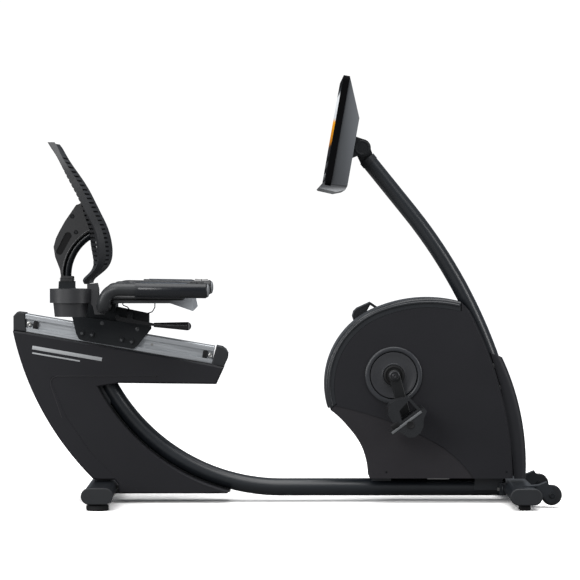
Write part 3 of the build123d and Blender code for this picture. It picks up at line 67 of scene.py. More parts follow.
# ---- Studio: a white floor that runs into a white backdrop, a broad high sun and softbox that draw the
# long highlight on each tube, and two weaker panels, one by the camera and one in front of the bike.
world = bpy.data.worlds.new("studio")
scene.world = world
world.use_nodes = True
world_nodes = world.node_tree.nodes
world_links = world.node_tree.links
world_nodes.clear()
world_out = world_nodes.new("ShaderNodeOutputWorld")
backdrop_white = world_nodes.new("ShaderNodeBackground")
backdrop_white.inputs["Color"].default_value = (1, 1, 1, 1)
backdrop_white.inputs["Strength"].default_value = 1.05
room_grey = world_nodes.new("ShaderNodeBackground")
room_grey.inputs["Color"].default_value = (0.86, 0.92, 1, 1)
room_grey.inputs["Strength"].default_value = 0.20
ray_kind = world_nodes.new("ShaderNodeLightPath")
room_mix = world_nodes.new("ShaderNodeMixShader")
world_links.new(ray_kind.outputs["Is Camera Ray"], room_mix.inputs[0])
world_links.new(room_grey.outputs[0], room_mix.inputs[1])
world_links.new(backdrop_white.outputs[0], room_mix.inputs[2])
world_links.new(room_mix.outputs[0], world_out.inputs["Surface"])


def softbox(name, place, target, size, power):
    """A rectangular area light aimed at a point."""
    data = bpy.data.lights.new(name, "AREA")
    data.shape = "RECTANGLE"
    data.size, data.size_y = size
    data.energy = power
    lamp = bpy.data.objects.new(name, data)
    lamp.location = place
    lamp.rotation_euler = (Vector(target) - Vector(place)).to_track_quat("-Z", "Y").to_euler()
    scene.collection.objects.link(lamp)


softbox("overhead", (0.1, -0.3, 3.6), (0, 0, 0), (4.5, 3.4), 70)
softbox("by_camera", (-2.6, -5.2, 2.4), (0, 0, 0.5), (2.4, 2.0), 105)
softbox("rear_panel", (-4.2, -1.9, 1.5), (0.2, 0, 0.4), (1.6, 2.2), 70)
softbox("front_panel", (4.2, -2.2, 1.8), (0.2, 0, 0.6), (1.6, 2.4), 60)
sky_data = bpy.data.lights.new("high_sun", "SUN")
sky_data.energy = 1.7
sky_data.angle = math.radians(70)
sky = bpy.data.objects.new("high_sun", sky_data)
sky.rotation_euler = (math.radians(12), math.radians(-6), 0)
scene.collection.objects.link(sky)

bpy.ops.mesh.primitive_plane_add(size=60, location=(0, 0, 0))
floor = bpy.context.object
floor.name = "studio_floor"
floor_white = bpy.data.materials.new("floor_white")
floor_white.use_nodes = True
floor_tree = floor_white.node_tree
floor_tree.nodes.remove(floor_tree.nodes["Principled BSDF"])
floor_shader = floor_tree.nodes.new("ShaderNodeBsdfDiffuse")
floor_shader.inputs["Color"].default_value = (1.62, 1.6, 1.58, 1)
floor_bounce = floor_tree.nodes.new("ShaderNodeBsdfDiffuse")
floor_bounce.inputs["Color"].default_value = (0.22, 0.22, 0.22, 1)
floor_rays = floor_tree.nodes.new("ShaderNodeLightPath")
floor_mix = floor_tree.nodes.new("ShaderNodeMixShader")
floor_tree.links.new(floor_rays.outputs["Is Camera Ray"], floor_mix.inputs[0])
floor_tree.links.new(floor_bounce.outputs[0], floor_mix.inputs[1])
floor_tree.links.new(floor_shader.outputs[0], floor_mix.inputs[2])
floor_tree.links.new(floor_mix.outputs[0], floor_tree.nodes["Material Output"].inputs["Surface"])
floor.data.materials.append(floor_white)

# ---- Floor frame: stabilisers, the long swept tube, the crank post and the mast posts. Welded steel with
# a blue-black gloss powder coat, a slight orange peel in it, and zinc-plated bolts.
SMOOTH_UNDER, BEVEL_OVER = 34, 32
HALF_POINTS = 0.577


def new_finish(name):
    """A new material with its shader and its object coordinates."""
    mat = bpy.data.materials.new(name)
    mat.use_nodes = True
    tree = mat.node_tree
    coords = tree.nodes.new("ShaderNodeTexCoord")
    return mat, tree, tree.nodes["Principled BSDF"], coords.outputs["Object"]


def noise_of(tree, source, scale, detail=3.0, rough=0.55):
    """A noise pattern at a scale per metre."""
    node = tree.nodes.new("ShaderNodeTexNoise")
    node.inputs["Scale"].default_value = scale
    node.inputs["Detail"].default_value = detail
    node.inputs["Roughness"].default_value = rough
    tree.links.new(source, node.inputs["Vector"])
    return node.outputs["Fac"]


def remap(tree, source, low, high, start=0.3, stop=0.7):
    """A pattern's range from start to stop, spread between two values."""
    node = tree.nodes.new("ShaderNodeMapRange")
    node.inputs["From Min"].default_value = start
    node.inputs["From Max"].default_value = stop
    node.inputs["To Min"].default_value = low
    node.inputs["To Max"].default_value = high
    tree.links.new(source, node.inputs["Value"])
    return node.outputs["Result"]


def ramp(tree, source, stops):
    """Colours at places along a value from 0 to 1."""
    node = tree.nodes.new("ShaderNodeValToRGB")
    elements = node.color_ramp.elements
    while len(elements) < len(stops):
        elements.new(0.5)
    for element, (place, colour) in zip(elements, stops):
        element.position = place
        element.color = (*colour, 1)
    tree.links.new(source, node.inputs["Fac"])
    return node.outputs["Color"]


def relief(tree, source, shader, strength, distance):
    """Fine surface relief from a pattern."""
    node = tree.nodes.new("ShaderNodeBump")
    node.inputs["Strength"].default_value = strength
    node.inputs["Distance"].default_value = distance
    tree.links.new(source, node.inputs["Height"])
    tree.links.new(node.outputs["Normal"], shader.inputs["Normal"])


def shades(colour, spread):
    """A darker and a lighter shade of one colour."""
    return tuple(c * (1 - spread) for c in colour), tuple(c * (1 + spread) for c in colour)


def powder_coat(name, colour, rough, coat=0.3, peel=900.0):
    """Sprayed paint on metal: a clear top layer over faint orange peel."""
    mat, tree, shader, place = new_finish(name)
    dark, light = shades(colour, 0.14)
    wander = noise_of(tree, place, 7)
    tree.links.new(ramp(tree, wander, ((0.35, dark), (0.65, light))), shader.inputs["Base Color"])
    peeled = noise_of(tree, place, peel, 1)
    tree.links.new(remap(tree, peeled, rough - 0.02, rough + 0.02), shader.inputs["Roughness"])
    shader.inputs["Coat Weight"].default_value = coat
    shader.inputs["Coat Roughness"].default_value = 0.2
    relief(tree, peeled, shader, 0.03, 0.0001)
    return mat


def moulded(name, colour, rough, grain=1500.0, depth=0.2, spread=0.08, gloss=0.5):
    """Moulded plastic: a spark-eroded grain, a slightly uneven tone and faint rub marks."""
    mat, tree, shader, place = new_finish(name)
    dark, light = shades(colour, spread)
    wander = noise_of(tree, place, 4)
    tree.links.new(ramp(tree, wander, ((0.35, dark), (0.65, light))), shader.inputs["Base Color"])
    grains = noise_of(tree, place, grain, 2)
    rub = noise_of(tree, place, 22, 4)
    blend = tree.nodes.new("ShaderNodeMath")
    blend.operation = "ADD"
    tree.links.new(remap(tree, grains, -0.04, 0.04), blend.inputs[0])
    tree.links.new(remap(tree, rub, rough - 0.03, rough + 0.04), blend.inputs[1])
    tree.links.new(blend.outputs[0], shader.inputs["Roughness"])
    shader.inputs["Specular IOR Level"].default_value = gloss
    relief(tree, grains, shader, depth, 0.0002)
    return mat


def graded(mat, source_axis, low, high, stops):
    """Recolours a moulded finish along one axis of the bike, between two places in metres."""
    tree = mat.node_tree
    place = next(node for node in tree.nodes if node.type == "TEX_COORD").outputs["Object"]
    split = tree.nodes.new("ShaderNodeSeparateXYZ")
    tree.links.new(place, split.inputs[0])
    share = remap(tree, split.outputs[source_axis], 0, 1, low, high)
    tree.links.new(ramp(tree, share, stops), tree.nodes["Principled BSDF"].inputs["Base Color"])
    return mat


def drawn_metal(name, colour, rough, slope=0.0, lines=420.0, metal=1.0):
    """Bare metal with fine lines drawn along the bike, at a slope below +X."""
    mat, tree, shader, place = new_finish(name)
    stretch = tree.nodes.new("ShaderNodeMapping")
    stretch.vector_type = "TEXTURE"
    stretch.inputs["Rotation"].default_value = (0, math.radians(slope), 0)
    stretch.inputs["Scale"].default_value = (80, 1, 1)
    tree.links.new(place, stretch.inputs["Vector"])
    streaks = noise_of(tree, stretch.outputs["Vector"], lines, 2, 0.5)
    dark, light = shades(colour, 0.08)
    tree.links.new(ramp(tree, streaks, ((0.3, dark), (0.7, light))), shader.inputs["Base Color"])
    tree.links.new(remap(tree, streaks, rough - 0.05, rough + 0.08), shader.inputs["Roughness"])
    shader.inputs["Metallic"].default_value = metal
    relief(tree, streaks, shader, 0.08, 0.0001)
    return mat


def dress(mat, *names):
    """Gives CAD nodes their finish."""
    for name in names:
        node = CAD[name]
        if not node.material_slots:
            node.data.materials.append(mat)
        for slot in node.material_slots:
            slot.material = mat


def alone():
    """Leaves edit mode and deselects everything."""
    if bpy.context.object and bpy.context.object.mode != "OBJECT":
        bpy.ops.object.mode_set(mode="OBJECT")
    bpy.ops.object.select_all(action="DESELECT")


def choose(piece):
    """Selects one piece alone."""
    alone()
    piece.select_set(True)
    bpy.context.view_layer.objects.active = piece


def pick_faces(piece, wanted):
    """In edit mode, selects the faces that a test picks out."""
    bpy.ops.mesh.select_mode(type="FACE")
    mesh = bmesh.from_edit_mesh(piece.data)
    for face in mesh.faces:
        face.select_set(wanted(face))
    bmesh.update_edit_mesh(piece.data)


def soften(piece, width, segments=2):
    """Rounds a piece's sharp edges."""
    choose(piece)
    bpy.ops.object.transform_apply(location=True, rotation=True, scale=True)
    edge = piece.modifiers.new("edges", "BEVEL")
    edge.width = width
    edge.segments = segments
    edge.limit_method = "ANGLE"
    edge.angle_limit = math.radians(BEVEL_OVER)
    bpy.ops.object.modifier_apply(modifier="edges")
    return piece


def joined(parts):
    """Several meshes as one piece."""
    alone()
    for part in parts:
        part.select_set(True)
    bpy.context.view_layer.objects.active = parts[0]
    if len(parts) > 1:
        bpy.ops.object.join()
    return bpy.context.object


def settle(piece, name, mat, body):
    """Fixes a finished piece's place, name, finish and body."""
    choose(piece)
    bpy.ops.object.transform_apply(location=True, rotation=True, scale=True)
    bpy.ops.object.shade_smooth_by_angle(angle=math.radians(SMOOTH_UNDER))
    piece.name = name
    piece.data.name = name
    if mat:
        piece.data.materials.clear()
        piece.data.materials.append(mat)
    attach(piece, body)
    return piece


def round_of(centre, hand, radius, depth, steps=(), sides=64):
    """A disc across the bike whose outer face is worked in by insets, each (inset, rise) in metres."""
    alone()
    middle = (centre[0], centre[1] + hand * depth / 2, centre[2])
    bpy.ops.mesh.primitive_cylinder_add(vertices=sides, radius=radius, depth=depth, location=middle,
                                        rotation=(math.radians(90), 0, 0))
    piece = bpy.context.object
    bpy.ops.object.transform_apply(location=True, rotation=True, scale=True)
    bpy.ops.object.mode_set(mode="EDIT")
    pick_faces(piece, lambda face: face.normal.y * hand > 0.9)
    for inset, rise in steps:
        bpy.ops.mesh.inset(thickness=inset, depth=rise)
    bpy.ops.object.mode_set(mode="OBJECT")
    return piece


def hex_bolt(centre, hand, across, height, washer=0.0):
    """A hexagon head with a dished face, and a washer under it if it has one."""
    parts = []
    if washer:
        parts.append(round_of(centre, hand, washer, height * 0.22, ((washer * 0.1, height * 0.08),), 32))
    dish = ((across * 0.12, height * 0.12), (across * 0.1, -height * 0.1))
    head = round_of(centre, hand, across * HALF_POINTS, height, dish, 6)
    parts.append(head)
    return joined(parts)


joint_at = {joint["name"]: Vector(joint["pos_m"]) for joint in frame["record"]["behaviour"]["joints"]
            if "pos_m" in joint}
black_coat = powder_coat("blue_black_coat", (0.010, 0.0125, 0.016), 0.38)
plate_coat = powder_coat("plate_black_coat", (0.006, 0.0078, 0.0098), 0.46, 0.04)
plate_coat.node_tree.nodes["Principled BSDF"].inputs["Specular IOR Level"].default_value = 0.3
zinc = drawn_metal("zinc_plate", (0.42, 0.42, 0.41), 0.34)
dress(black_coat, "main_tube", "rear_frame", "crank_post", "mast_post", "rear_stabiliser", "front_stabiliser",
      "wheel_brackets")
dress(zinc, "frame_screws", "flywheel_bracket", "bearings")
WELD_Y, WELD_Z = 0.044, 0.037
weld_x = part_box("front_stabiliser")[0][0] - 0.004
alone()
weld_beads = []
for bead_y in (-WELD_Y, WELD_Y):
    bpy.ops.mesh.primitive_torus_add(major_radius=0.014, minor_radius=0.0016, major_segments=28,
                                     minor_segments=8, location=(weld_x, bead_y, WELD_Z),
                                     rotation=(0, math.radians(90), 0))
    weld_beads.append(bpy.context.object)
settle(joined(weld_beads), "front_weld_beads", black_coat, "frame")

# ---- Stabiliser ends, feet and transport wheels: injection-moulded black nylon caps pressed into the
# bars, rubber pads, and small nylon wheels with a rubber tread, a dished web and a bolt through the hub.
cap_nylon = moulded("cap_nylon", (0.022, 0.0235, 0.026), 0.46, 1400, 0.2, 0.08, 0.35)
foot_rubber = moulded("foot_rubber", (0.010, 0.010, 0.011), 0.72, 700, 0.4, 0.1, 0.3)
wheel_nylon = moulded("wheel_nylon", (0.012, 0.013, 0.015), 0.38, 1200, 0.2)
tread_rubber = moulded("tread_rubber", (0.030, 0.031, 0.033), 0.6, 900, 0.3)
dress(cap_nylon, "stabiliser_caps")
dress(foot_rubber, "front_feet", "levelling_foot_right", "levelling_foot_left")
dress(wheel_nylon, "transport_wheels")
wheel_low, wheel_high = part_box("transport_wheels")
wheel_radius = (wheel_high[2] - wheel_low[2]) / 2
wheel_x, wheel_z = (wheel_low[0] + wheel_high[0]) / 2, (wheel_low[2] + wheel_high[2]) / 2
TREAD_WIDTH, TREAD_ROUND, HALF_WHEEL, BOLT_OUT = 0.016, 0.0026, 0.011, 0.0156
treads = []
wheel_mid = wheel_high[1] - HALF_WHEEL
for wheel_y in (-wheel_mid, wheel_mid):
    alone()
    bpy.ops.mesh.primitive_torus_add(major_radius=wheel_radius - 0.0022, minor_radius=TREAD_ROUND,
                                     major_segments=96, minor_segments=16,
                                     location=(wheel_x, wheel_y, wheel_z), rotation=(math.radians(90), 0, 0))
    tread = bpy.context.object
    bpy.ops.object.transform_apply(location=False, rotation=True, scale=True)
    tread.scale = (1, TREAD_WIDTH / (2 * TREAD_ROUND), 1)
    bpy.ops.object.transform_apply(location=True, rotation=True, scale=True)
    treads.append(tread)
settle(joined(treads), "wheel_treads", tread_rubber, "transport_wheels")
wheel_bolts = []
for wheel_y in (-wheel_mid, wheel_mid):
    for hand in (RIGHT, LEFT):
        bolt_at = (wheel_x, wheel_y + hand * BOLT_OUT, wheel_z)
        wheel_bolts.append(hex_bolt(bolt_at, hand, 0.013, 0.0045, 0.009))
settle(joined(wheel_bolts), "wheel_bolts", plate_coat, "frame")

# ---- Rear shroud: two charcoal mouldings with a fine spark grain that meet on the bike's centre line and
# carry the rail on a beam, with a plain pad-printed double stripe along it.
charcoal = moulded("charcoal_shroud", (0.0165, 0.0165, 0.0195), 0.56, 1700, 0.3, 0.06, 0.22)
stripe_print = moulded("stripe_print", (0.42, 0.43, 0.44), 0.5, 900, 0.1, 0.05, 0.3)
dress(charcoal, "rear_shroud_right", "rear_shroud_left")
RAIL_SLOPE = 9.8
rail_low, rail_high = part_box("rail")
shroud_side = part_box("rear_shroud_left")[1][1]


def rail_drop(x, below_top):
    """Height of a line that runs a distance under the rail's top, above x."""
    return rail_high[2] - (x - rail_low[0]) * math.tan(math.radians(RAIL_SLOPE)) - below_top


def slanted_bar(start_x, end_x, below_top, height, thick, y):
    """A slim bar along the rail's slope on one side of the bike."""
    alone()
    middle_x = (start_x + end_x) / 2
    bpy.ops.mesh.primitive_cube_add(size=1, location=(middle_x, y, rail_drop(middle_x, below_top)),
                                    rotation=(0, math.radians(RAIL_SLOPE), 0))
    bar = bpy.context.object
    bar.scale = ((end_x - start_x) / math.cos(math.radians(RAIL_SLOPE)), thick, height)
    return soften(bar, min(height, thick) * 0.3)


def bead(name, points, radius):
    """A round bead laid through points, as one mesh."""
    alone()
    line = bpy.data.curves.new(name, "CURVE")
    line.dimensions = "3D"
    line.bevel_depth = radius
    line.bevel_resolution = 4
    line.use_fill_caps = True
    path = line.splines.new("POLY")
    path.points.add(len(points) - 1)
    for place, point in zip(path.points, points):
        place.co = (*point, 1)
    laid = bpy.data.objects.new(name, line)
    scene.collection.objects.link(laid)
    choose(laid)
    bpy.ops.object.convert(target="MESH")
    return bpy.context.object


def arc_through(start, middle, end, y, count=28):
    """Points on the arc through three places in the side view, at one distance across the bike."""
    (ax, az), (bx, bz), (cx, cz) = start, middle, end
    twice = 2 * (ax * (bz - cz) + bx * (cz - az) + cx * (az - bz))
    squares = [ax * ax + az * az, bx * bx + bz * bz, cx * cx + cz * cz]
    ox = (squares[0] * (bz - cz) + squares[1] * (cz - az) + squares[2] * (az - bz)) / twice
    oz = (squares[0] * (cx - bx) + squares[1] * (ax - cx) + squares[2] * (bx - ax)) / twice
    reach = math.hypot(ax - ox, az - oz)
    first = math.atan2(az - oz, ax - ox)
    via = (math.atan2(bz - oz, bx - ox) - first + math.pi) % (2 * math.pi) - math.pi
    sweep = (math.atan2(cz - oz, cx - ox) - first) % (2 * math.pi)
    if via < 0:
        sweep -= 2 * math.pi
    turns = [first + sweep * step / count for step in range(count + 1)]
    return [(ox + reach * math.cos(turn), y, oz + reach * math.sin(turn)) for turn in turns]


stripes = []
for hand in (RIGHT, LEFT):
    stripes.append(slanted_bar(-0.690, -0.500, 0.086, 0.010, 0.0008, hand * (shroud_side + 0.0002)))
    stripes.append(slanted_bar(-0.690, -0.560, 0.101, 0.004, 0.0008, hand * (shroud_side + 0.0002)))
settle(joined(stripes), "shroud_stripes", stripe_print, "frame")
shroud_beads = []
for hand in (RIGHT, LEFT):
    at = hand * (shroud_side - 0.0004)
    bead_run = [(-0.610, at, 0.235), (-0.6395, at, 0.322), (-0.6405, at, 0.334), (-0.634, at, 0.344),
                (-0.622, at, 0.348), (-0.352, at, 0.348)]
    shroud_beads.append(bead("edge", bead_run, 0.0009))
bead_charcoal = moulded("bead_charcoal", (0.030, 0.030, 0.033), 0.4, 1200, 0.1, 0.06, 0.3)
settle(joined(shroud_beads), "shroud_recess_beads", bead_charcoal, "frame")

# ---- Seat rail: one long aluminium extrusion with a roller channel in each side, drawn lines along it,
# black nylon ends, a rubber stop block in each end of the channel and a bright screw beside it.
rail_metal = drawn_metal("drawn_aluminium", (0.56, 0.58, 0.60), 0.33, RAIL_SLOPE, 420, 0.8)
dress(rail_metal, "rail")
dress(cap_nylon, "rail_ends")
stop_blocks, stop_screws = [], []
HALF_BLOCK, BLOCK_Y, STOP_SCREW_Y = 0.0065, 0.0312, 0.0332
CHANNEL_MID = 0.0245 / math.cos(math.radians(RAIL_SLOPE))
for hand in (RIGHT, LEFT):
    for block_x, screw_x in ((-0.683, -0.7005), (-0.2195, -0.2045)):
        stop_blocks.append(slanted_bar(block_x - HALF_BLOCK, block_x + HALF_BLOCK, CHANNEL_MID, 0.021, 0.011,
                                       hand * BLOCK_Y))
        place = (screw_x, hand * STOP_SCREW_Y, rail_drop(screw_x, CHANNEL_MID))
        stop_screws.append(hex_bolt(place, hand, 0.0095, 0.003, 0.0068))
settle(joined(stop_blocks), "rail_stop_blocks", foot_rubber, "frame")
settle(joined(stop_screws), "rail_stop_screws", zinc, "frame")

# ---- Drive housing: two charcoal shields and a slightly warmer lower panel, closed round the rim by a
# glossier hoop, with a gloss bezel round each crank and small screws sunk in the corners.
warm_charcoal = moulded("warm_charcoal_panel", (0.023, 0.0215, 0.0245), 0.58, 1700, 0.3, 0.06, 0.25)
hoop_gloss = moulded("hoop_gloss", (0.020, 0.022, 0.025), 0.3, 900, 0.05, 0.06)
seal_rubber = moulded("seal_rubber", (0.006, 0.006, 0.0065), 0.7, 900, 0.3)
cover_charcoal = moulded("cover_charcoal", (0.0185, 0.019, 0.0225), 0.5, 1700, 0.3, 0.06, 0.3)
dress(charcoal, "drive_shield_right", "drive_shield_left")
dress(cover_charcoal, "mast_cover")
dress(warm_charcoal, "lower_panels")
dress(hoop_gloss, "shield_trim")
shield_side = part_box("drive_shield_left")[1][1]
sunk_screws = []
for hand in (RIGHT, LEFT):
    for screw_x, screw_z, depth in ((0.604, 0.086, 0.0016), (0.276, 0.086, 0.0035)):
        place = (screw_x, hand * (shield_side - depth - 0.0012), screw_z)
        sunk_screws.append(hex_bolt(place, hand, 0.0042, 0.0012))
settle(joined(sunk_screws), "housing_screws", plate_coat, "frame")
hoop_beads = []
for hand in (RIGHT, LEFT):
    crest = hand * (shield_side - 0.0016)
    rim_run = arc_through((0.1275, 0.268), (0.1835, 0.4775), (0.2665, 0.5285), crest, 48)
    rim_run += arc_through((0.2665, 0.5285), (0.375, 0.5495), (0.474, 0.5405), crest, 24)[1:]
    hoop_beads.append(bead("hoop", rim_run, 0.0042))
settle(joined(hoop_beads), "housing_hoop_beads", hoop_gloss, "frame")
seam_tongues = []
for hand in (RIGHT, LEFT):
    behind = hand * (shield_side - 0.0045)
    seam_run = arc_through((0.5138, 0.069), (0.462, 0.1295), (0.394, 0.1753), behind, 20)
    seam_run += arc_through((0.394, 0.1753), (0.2715, 0.2298), (0.135, 0.268), behind, 24)[1:]
    seam_tongues.append(bead("seam", seam_run, 0.0019))
settle(joined(seam_tongues), "housing_seam_tongues", charcoal, "frame")
crank_at = joint_at["crank_turn"]
BEZEL_RADIUS, BEZEL_ROUND, SEAL_RADIUS, SEAL_ROUND = 0.0716, 0.0064, 0.0668, 0.0042
bezels = []
for hand in (RIGHT, LEFT):
    alone()
    bezel_at = (crank_at.x, hand * (shield_side + 0.0028), crank_at.z)
    bpy.ops.mesh.primitive_torus_add(major_radius=BEZEL_RADIUS, minor_radius=BEZEL_ROUND, major_segments=160,
                                     minor_segments=20, location=bezel_at, rotation=(math.radians(90), 0, 0))
    bezel = bpy.context.object
    bpy.ops.object.transform_apply(location=False, rotation=True, scale=True)
    bezel.scale = (1, 0.55, 1)
    bezels.append(bezel)
seal_rings = []
for hand in (RIGHT, LEFT):
    alone()
    seal_at = (crank_at.x, hand * (shield_side - 0.0105), crank_at.z)
    bpy.ops.mesh.primitive_torus_add(major_radius=SEAL_RADIUS, minor_radius=SEAL_ROUND, major_segments=120,
                                     minor_segments=12, location=seal_at, rotation=(math.radians(90), 0, 0))
    seal_rings.append(bpy.context.object)
settle(joined(seal_rings), "crank_seal_rings", seal_rubber, "frame")
bezel_gloss = moulded("bezel_gloss", (0.034, 0.036, 0.041), 0.36, 900, 0.04, 0.06)
settle(joined(bezels), "crank_bezels", bezel_gloss, "frame")

# ---- Drive train inside the housing: a cast flywheel with a machined rim, the belt, the magnet arm and
# the plain electric parts.
cast_iron = moulded("painted_iron", (0.06, 0.06, 0.065), 0.45, 500, 0.5)
belt_rubber = moulded("belt_rubber", (0.010, 0.010, 0.011), 0.65, 900, 0.4)
electric_black = moulded("electric_black", (0.02, 0.022, 0.022), 0.5)
dress(cast_iron, "flywheel")
dress(belt_rubber, "drive_belt")
dress(electric_black, "electrics")
dress(rail_metal, "magnet_arm")

# ---- Cranks: a dished grey disc that turns in each bezel, a black collar, a forged arm in black coat and
# a bolt in a turned dust cap on the axle's end.
dress(zinc, "crank_axle")
arm_black = powder_coat("arm_black", (0.004, 0.0045, 0.005), 0.4, 0.1)
dress(arm_black, "crank_arm_right", "crank_arm_left")
disc_grey = moulded("disc_grey", (0.040, 0.041, 0.045), 0.36, 900, 0.06)
collar_black = moulded("collar_black", (0.006, 0.006, 0.0065), 0.5, 900, 0.1, 0.08, 0.3)
DISC_RADIUS = 0.0632
discs, collars, caps = [], [], []
for hand in (RIGHT, LEFT):
    face = (crank_at.x, hand * (shield_side - 0.003), crank_at.z)
    discs.append(round_of(face, hand, DISC_RADIUS, 0.0058,
                          ((0.0012, 0.0012), (0.0010, 0), (0.006, -0.0016), (0.012, -0.0010), (0.010, 0.0004),
                           (0.0016, 0.0018), (0.0022, 0), (0.0016, -0.0026), (0.004, -0.0034)), 160))
    collars.append(round_of((crank_at.x, hand * (shield_side - 0.001), crank_at.z), hand, 0.0275, 0.0175,
                            ((0.0015, 0.001), (0.004, 0), (0.0012, -0.0015)), 96))
    caps.append(round_of((crank_at.x, hand * 0.1131, crank_at.z), hand, 0.0135, 0.0022,
                         ((0.0012, 0.0008), (0.0022, 0), (0.001, -0.0014)), 48))
    caps.append(hex_bolt((crank_at.x, hand * 0.1145, crank_at.z), hand, 0.0105, 0.004))
settle(joined(discs), "crank_dished_discs", disc_grey, "crank")
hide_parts("crank_discs")
settle(joined(collars), "crank_collars", collar_black, "crank")
bolt_steel = drawn_metal("bolt_steel", (0.07, 0.07, 0.074), 0.38)
settle(joined(caps), "crank_dust_caps", bolt_steel, "crank")

# ---- Pedals: grey glass-filled plates on a ball-raced spindle, ribbed treads under the shoe, and a broad
# rubber strap with a buckle on its outer side.
pedal_grey = moulded("pedal_grey", (0.017, 0.018, 0.020), 0.3, 1100, 0.15)
# The pale grey for the foot plates' near edges is a painted highlight on the same plastic as the pedal.
pedal_edge_painted_highlight = moulded("pedal_edge_painted_highlight", (0.13, 0.135, 0.14), 0.34, 1100, 0.1)
tread_black = moulded("tread_black", (0.016, 0.016, 0.017), 0.6, 900, 0.3)
dress(pedal_grey, "pedal_right", "pedal_left")


def on_pedal(axis, tilt, ahead, up):
    """A point ahead of and above a pedal's spindle, along its tilted foot plate, in metres."""
    turn = math.radians(tilt)
    return (axis.x + ahead * math.cos(turn) - up * math.sin(turn),
            axis.z + ahead * math.sin(turn) + up * math.cos(turn))


TREAD_Y, CAP_Y, PLATE_EDGE_Y, BUCKLE_Y = 0.181, 0.2316, 0.2324, 0.2330
for hand, body, tilt in ((RIGHT, "right_pedal", 36.6), (LEFT, "left_pedal", 50.0)):
    axis = joint_at[body + "_turn"]
    ribs = []
    for rib in range(7):
        x, z = on_pedal(axis, tilt, -0.046 + rib * 0.0145, 0.0150)
        alone()
        bpy.ops.mesh.primitive_cube_add(size=1, location=(x, hand * TREAD_Y, z),
                                        rotation=(0, -math.radians(tilt), 0))
        rib_bar = bpy.context.object
        rib_bar.scale = (0.0055, 0.084, 0.0024)
        ribs.append(soften(rib_bar, 0.0007))
    settle(joined(ribs), body + "_treads", tread_black, body)
    x, z = on_pedal(axis, tilt, -0.034, 0.022)
    alone()
    bpy.ops.mesh.primitive_cube_add(size=1, location=(x, hand * BUCKLE_Y, z),
                                    rotation=(0, -math.radians(tilt - 8), 0))
    buckle = bpy.context.object
    buckle.scale = (0.022, 0.0034, 0.014)
    buckle = soften(buckle, 0.0012)
    spindle_cap = round_of((axis.x, hand * CAP_Y, axis.z), hand, 0.0105, 0.0022,
                           ((0.001, 0.0008), (0.003, -0.0008)), 40)
    # A pale strip along each foot plate's near edge: a painted highlight where the glossy edge catches the
    # light.
    x, z = on_pedal(axis, tilt, -0.004, 0.0110)
    alone()
    bpy.ops.mesh.primitive_cube_add(size=1, location=(x, hand * PLATE_EDGE_Y, z),
                                    rotation=(0, -math.radians(tilt), 0))
    edge_highlight_strip = bpy.context.object
    edge_highlight_strip.scale = (0.098, 0.0030, 0.0068)
    settle(soften(edge_highlight_strip, 0.0011), body + "_painted_edge_highlight", pedal_edge_painted_highlight, body)
    settle(joined([buckle, spindle_cap]), body + "_buckle", collar_black, body)

# ---- Seat carriage and seat frame: bent plate in black coat that straddles the rail on nylon rollers,
# bolted through with small hexagon heads, with a clamp box beside the release lever.
dress(plate_coat, "carriage", "seat_frame", "carriage_bolts")
dress(black_coat, "back_post")
roller_nylon = moulded("roller_nylon", (0.35, 0.35, 0.34), 0.5, 1200, 0.2)
dress(roller_nylon, "rollers_front", "rollers_rear")
dress(belt_rubber, "pulse_leads")
bolt_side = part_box("carriage_bolts")[1][1]
plate_bolts = []
for bolt_x in (-0.556, -0.529, -0.448, -0.420):
    for hand in (RIGHT, LEFT):
        place = (bolt_x, hand * bolt_side, rail_drop(bolt_x, CHANNEL_MID))
        plate_bolts.append(hex_bolt(place, hand, 0.0072, 0.0018))
carriage_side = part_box("carriage")[1][1]
for bolt_x, bolt_z in ((-0.500, 0.4925), (-0.404, 0.476)):
    for hand in (RIGHT, LEFT):
        plate_bolts.append(hex_bolt((bolt_x, hand * carriage_side, bolt_z), hand, 0.0062, 0.0022, 0.0058))
bolt_black = moulded("bolt_black", (0.060, 0.062, 0.066), 0.22, 900, 0.05)
settle(joined(plate_bolts), "carriage_bolt_faces", bolt_black, "seat")
alone()
clamp_mid = Vector((-0.4245, -0.0350, 0.5140))
bpy.ops.mesh.primitive_cube_add(size=1, location=clamp_mid, rotation=(0, math.radians(4), 0))
clamp_box = bpy.context.object
clamp_box.scale = (0.0155, 0.013, 0.024)
settle(soften(clamp_box, 0.0015), "lever_clamp_box", cap_nylon, "seat")

# ---- Release lever: a flat steel rod with a long dipped handle that swells towards its end and a pale
# end ring.
lever_gloss = moulded("lever_gloss", (0.012, 0.012, 0.013), 0.2, 900, 0.05)
dress(lever_gloss, "release_lever")
lever_low, lever_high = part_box("release_lever")
ring_at = (lever_high[0] - 0.0065, lever_low[1] + 0.0115, 0.48625)
alone()
bpy.ops.mesh.primitive_torus_add(major_radius=0.0094, minor_radius=0.0013, major_segments=48,
                                 minor_segments=12, location=ring_at, rotation=(0, math.radians(88), 0))
ring_grey = moulded("ring_grey", (0.30, 0.30, 0.31), 0.3, 900, 0.1)
settle(bpy.context.object, "lever_end_ring", ring_grey, "lever")

# ---- Seat: a moulded pan, dark at the back and worn pale towards its turned-down nose, under a black
# vinyl cushion that is foam-filled and sewn in three panels.
pan_grey = graded(moulded("pan_grey", (0.1, 0.1, 0.1), 0.42, 1200, 0.15), 0, -0.36, -0.246,
                  ((0.0, (0.035, 0.036, 0.039)), (0.42, (0.050, 0.052, 0.056)), (0.72, (0.19, 0.20, 0.215)),
                   (1.0, (0.36, 0.38, 0.40))))
dress(pan_grey, "seat_pan")
pan_low, pan_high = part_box("seat_cushion")
vinyl, vinyl_tree, vinyl_shader, vinyl_place = new_finish("seat_vinyl")
vinyl_dark, vinyl_light = shades((0.014, 0.0145, 0.016), 0.18)
vinyl_wander = noise_of(vinyl_tree, vinyl_place, 14, 4)
vinyl_tree.links.new(ramp(vinyl_tree, vinyl_wander, ((0.35, vinyl_dark), (0.65, vinyl_light))),
                     vinyl_shader.inputs["Base Color"])
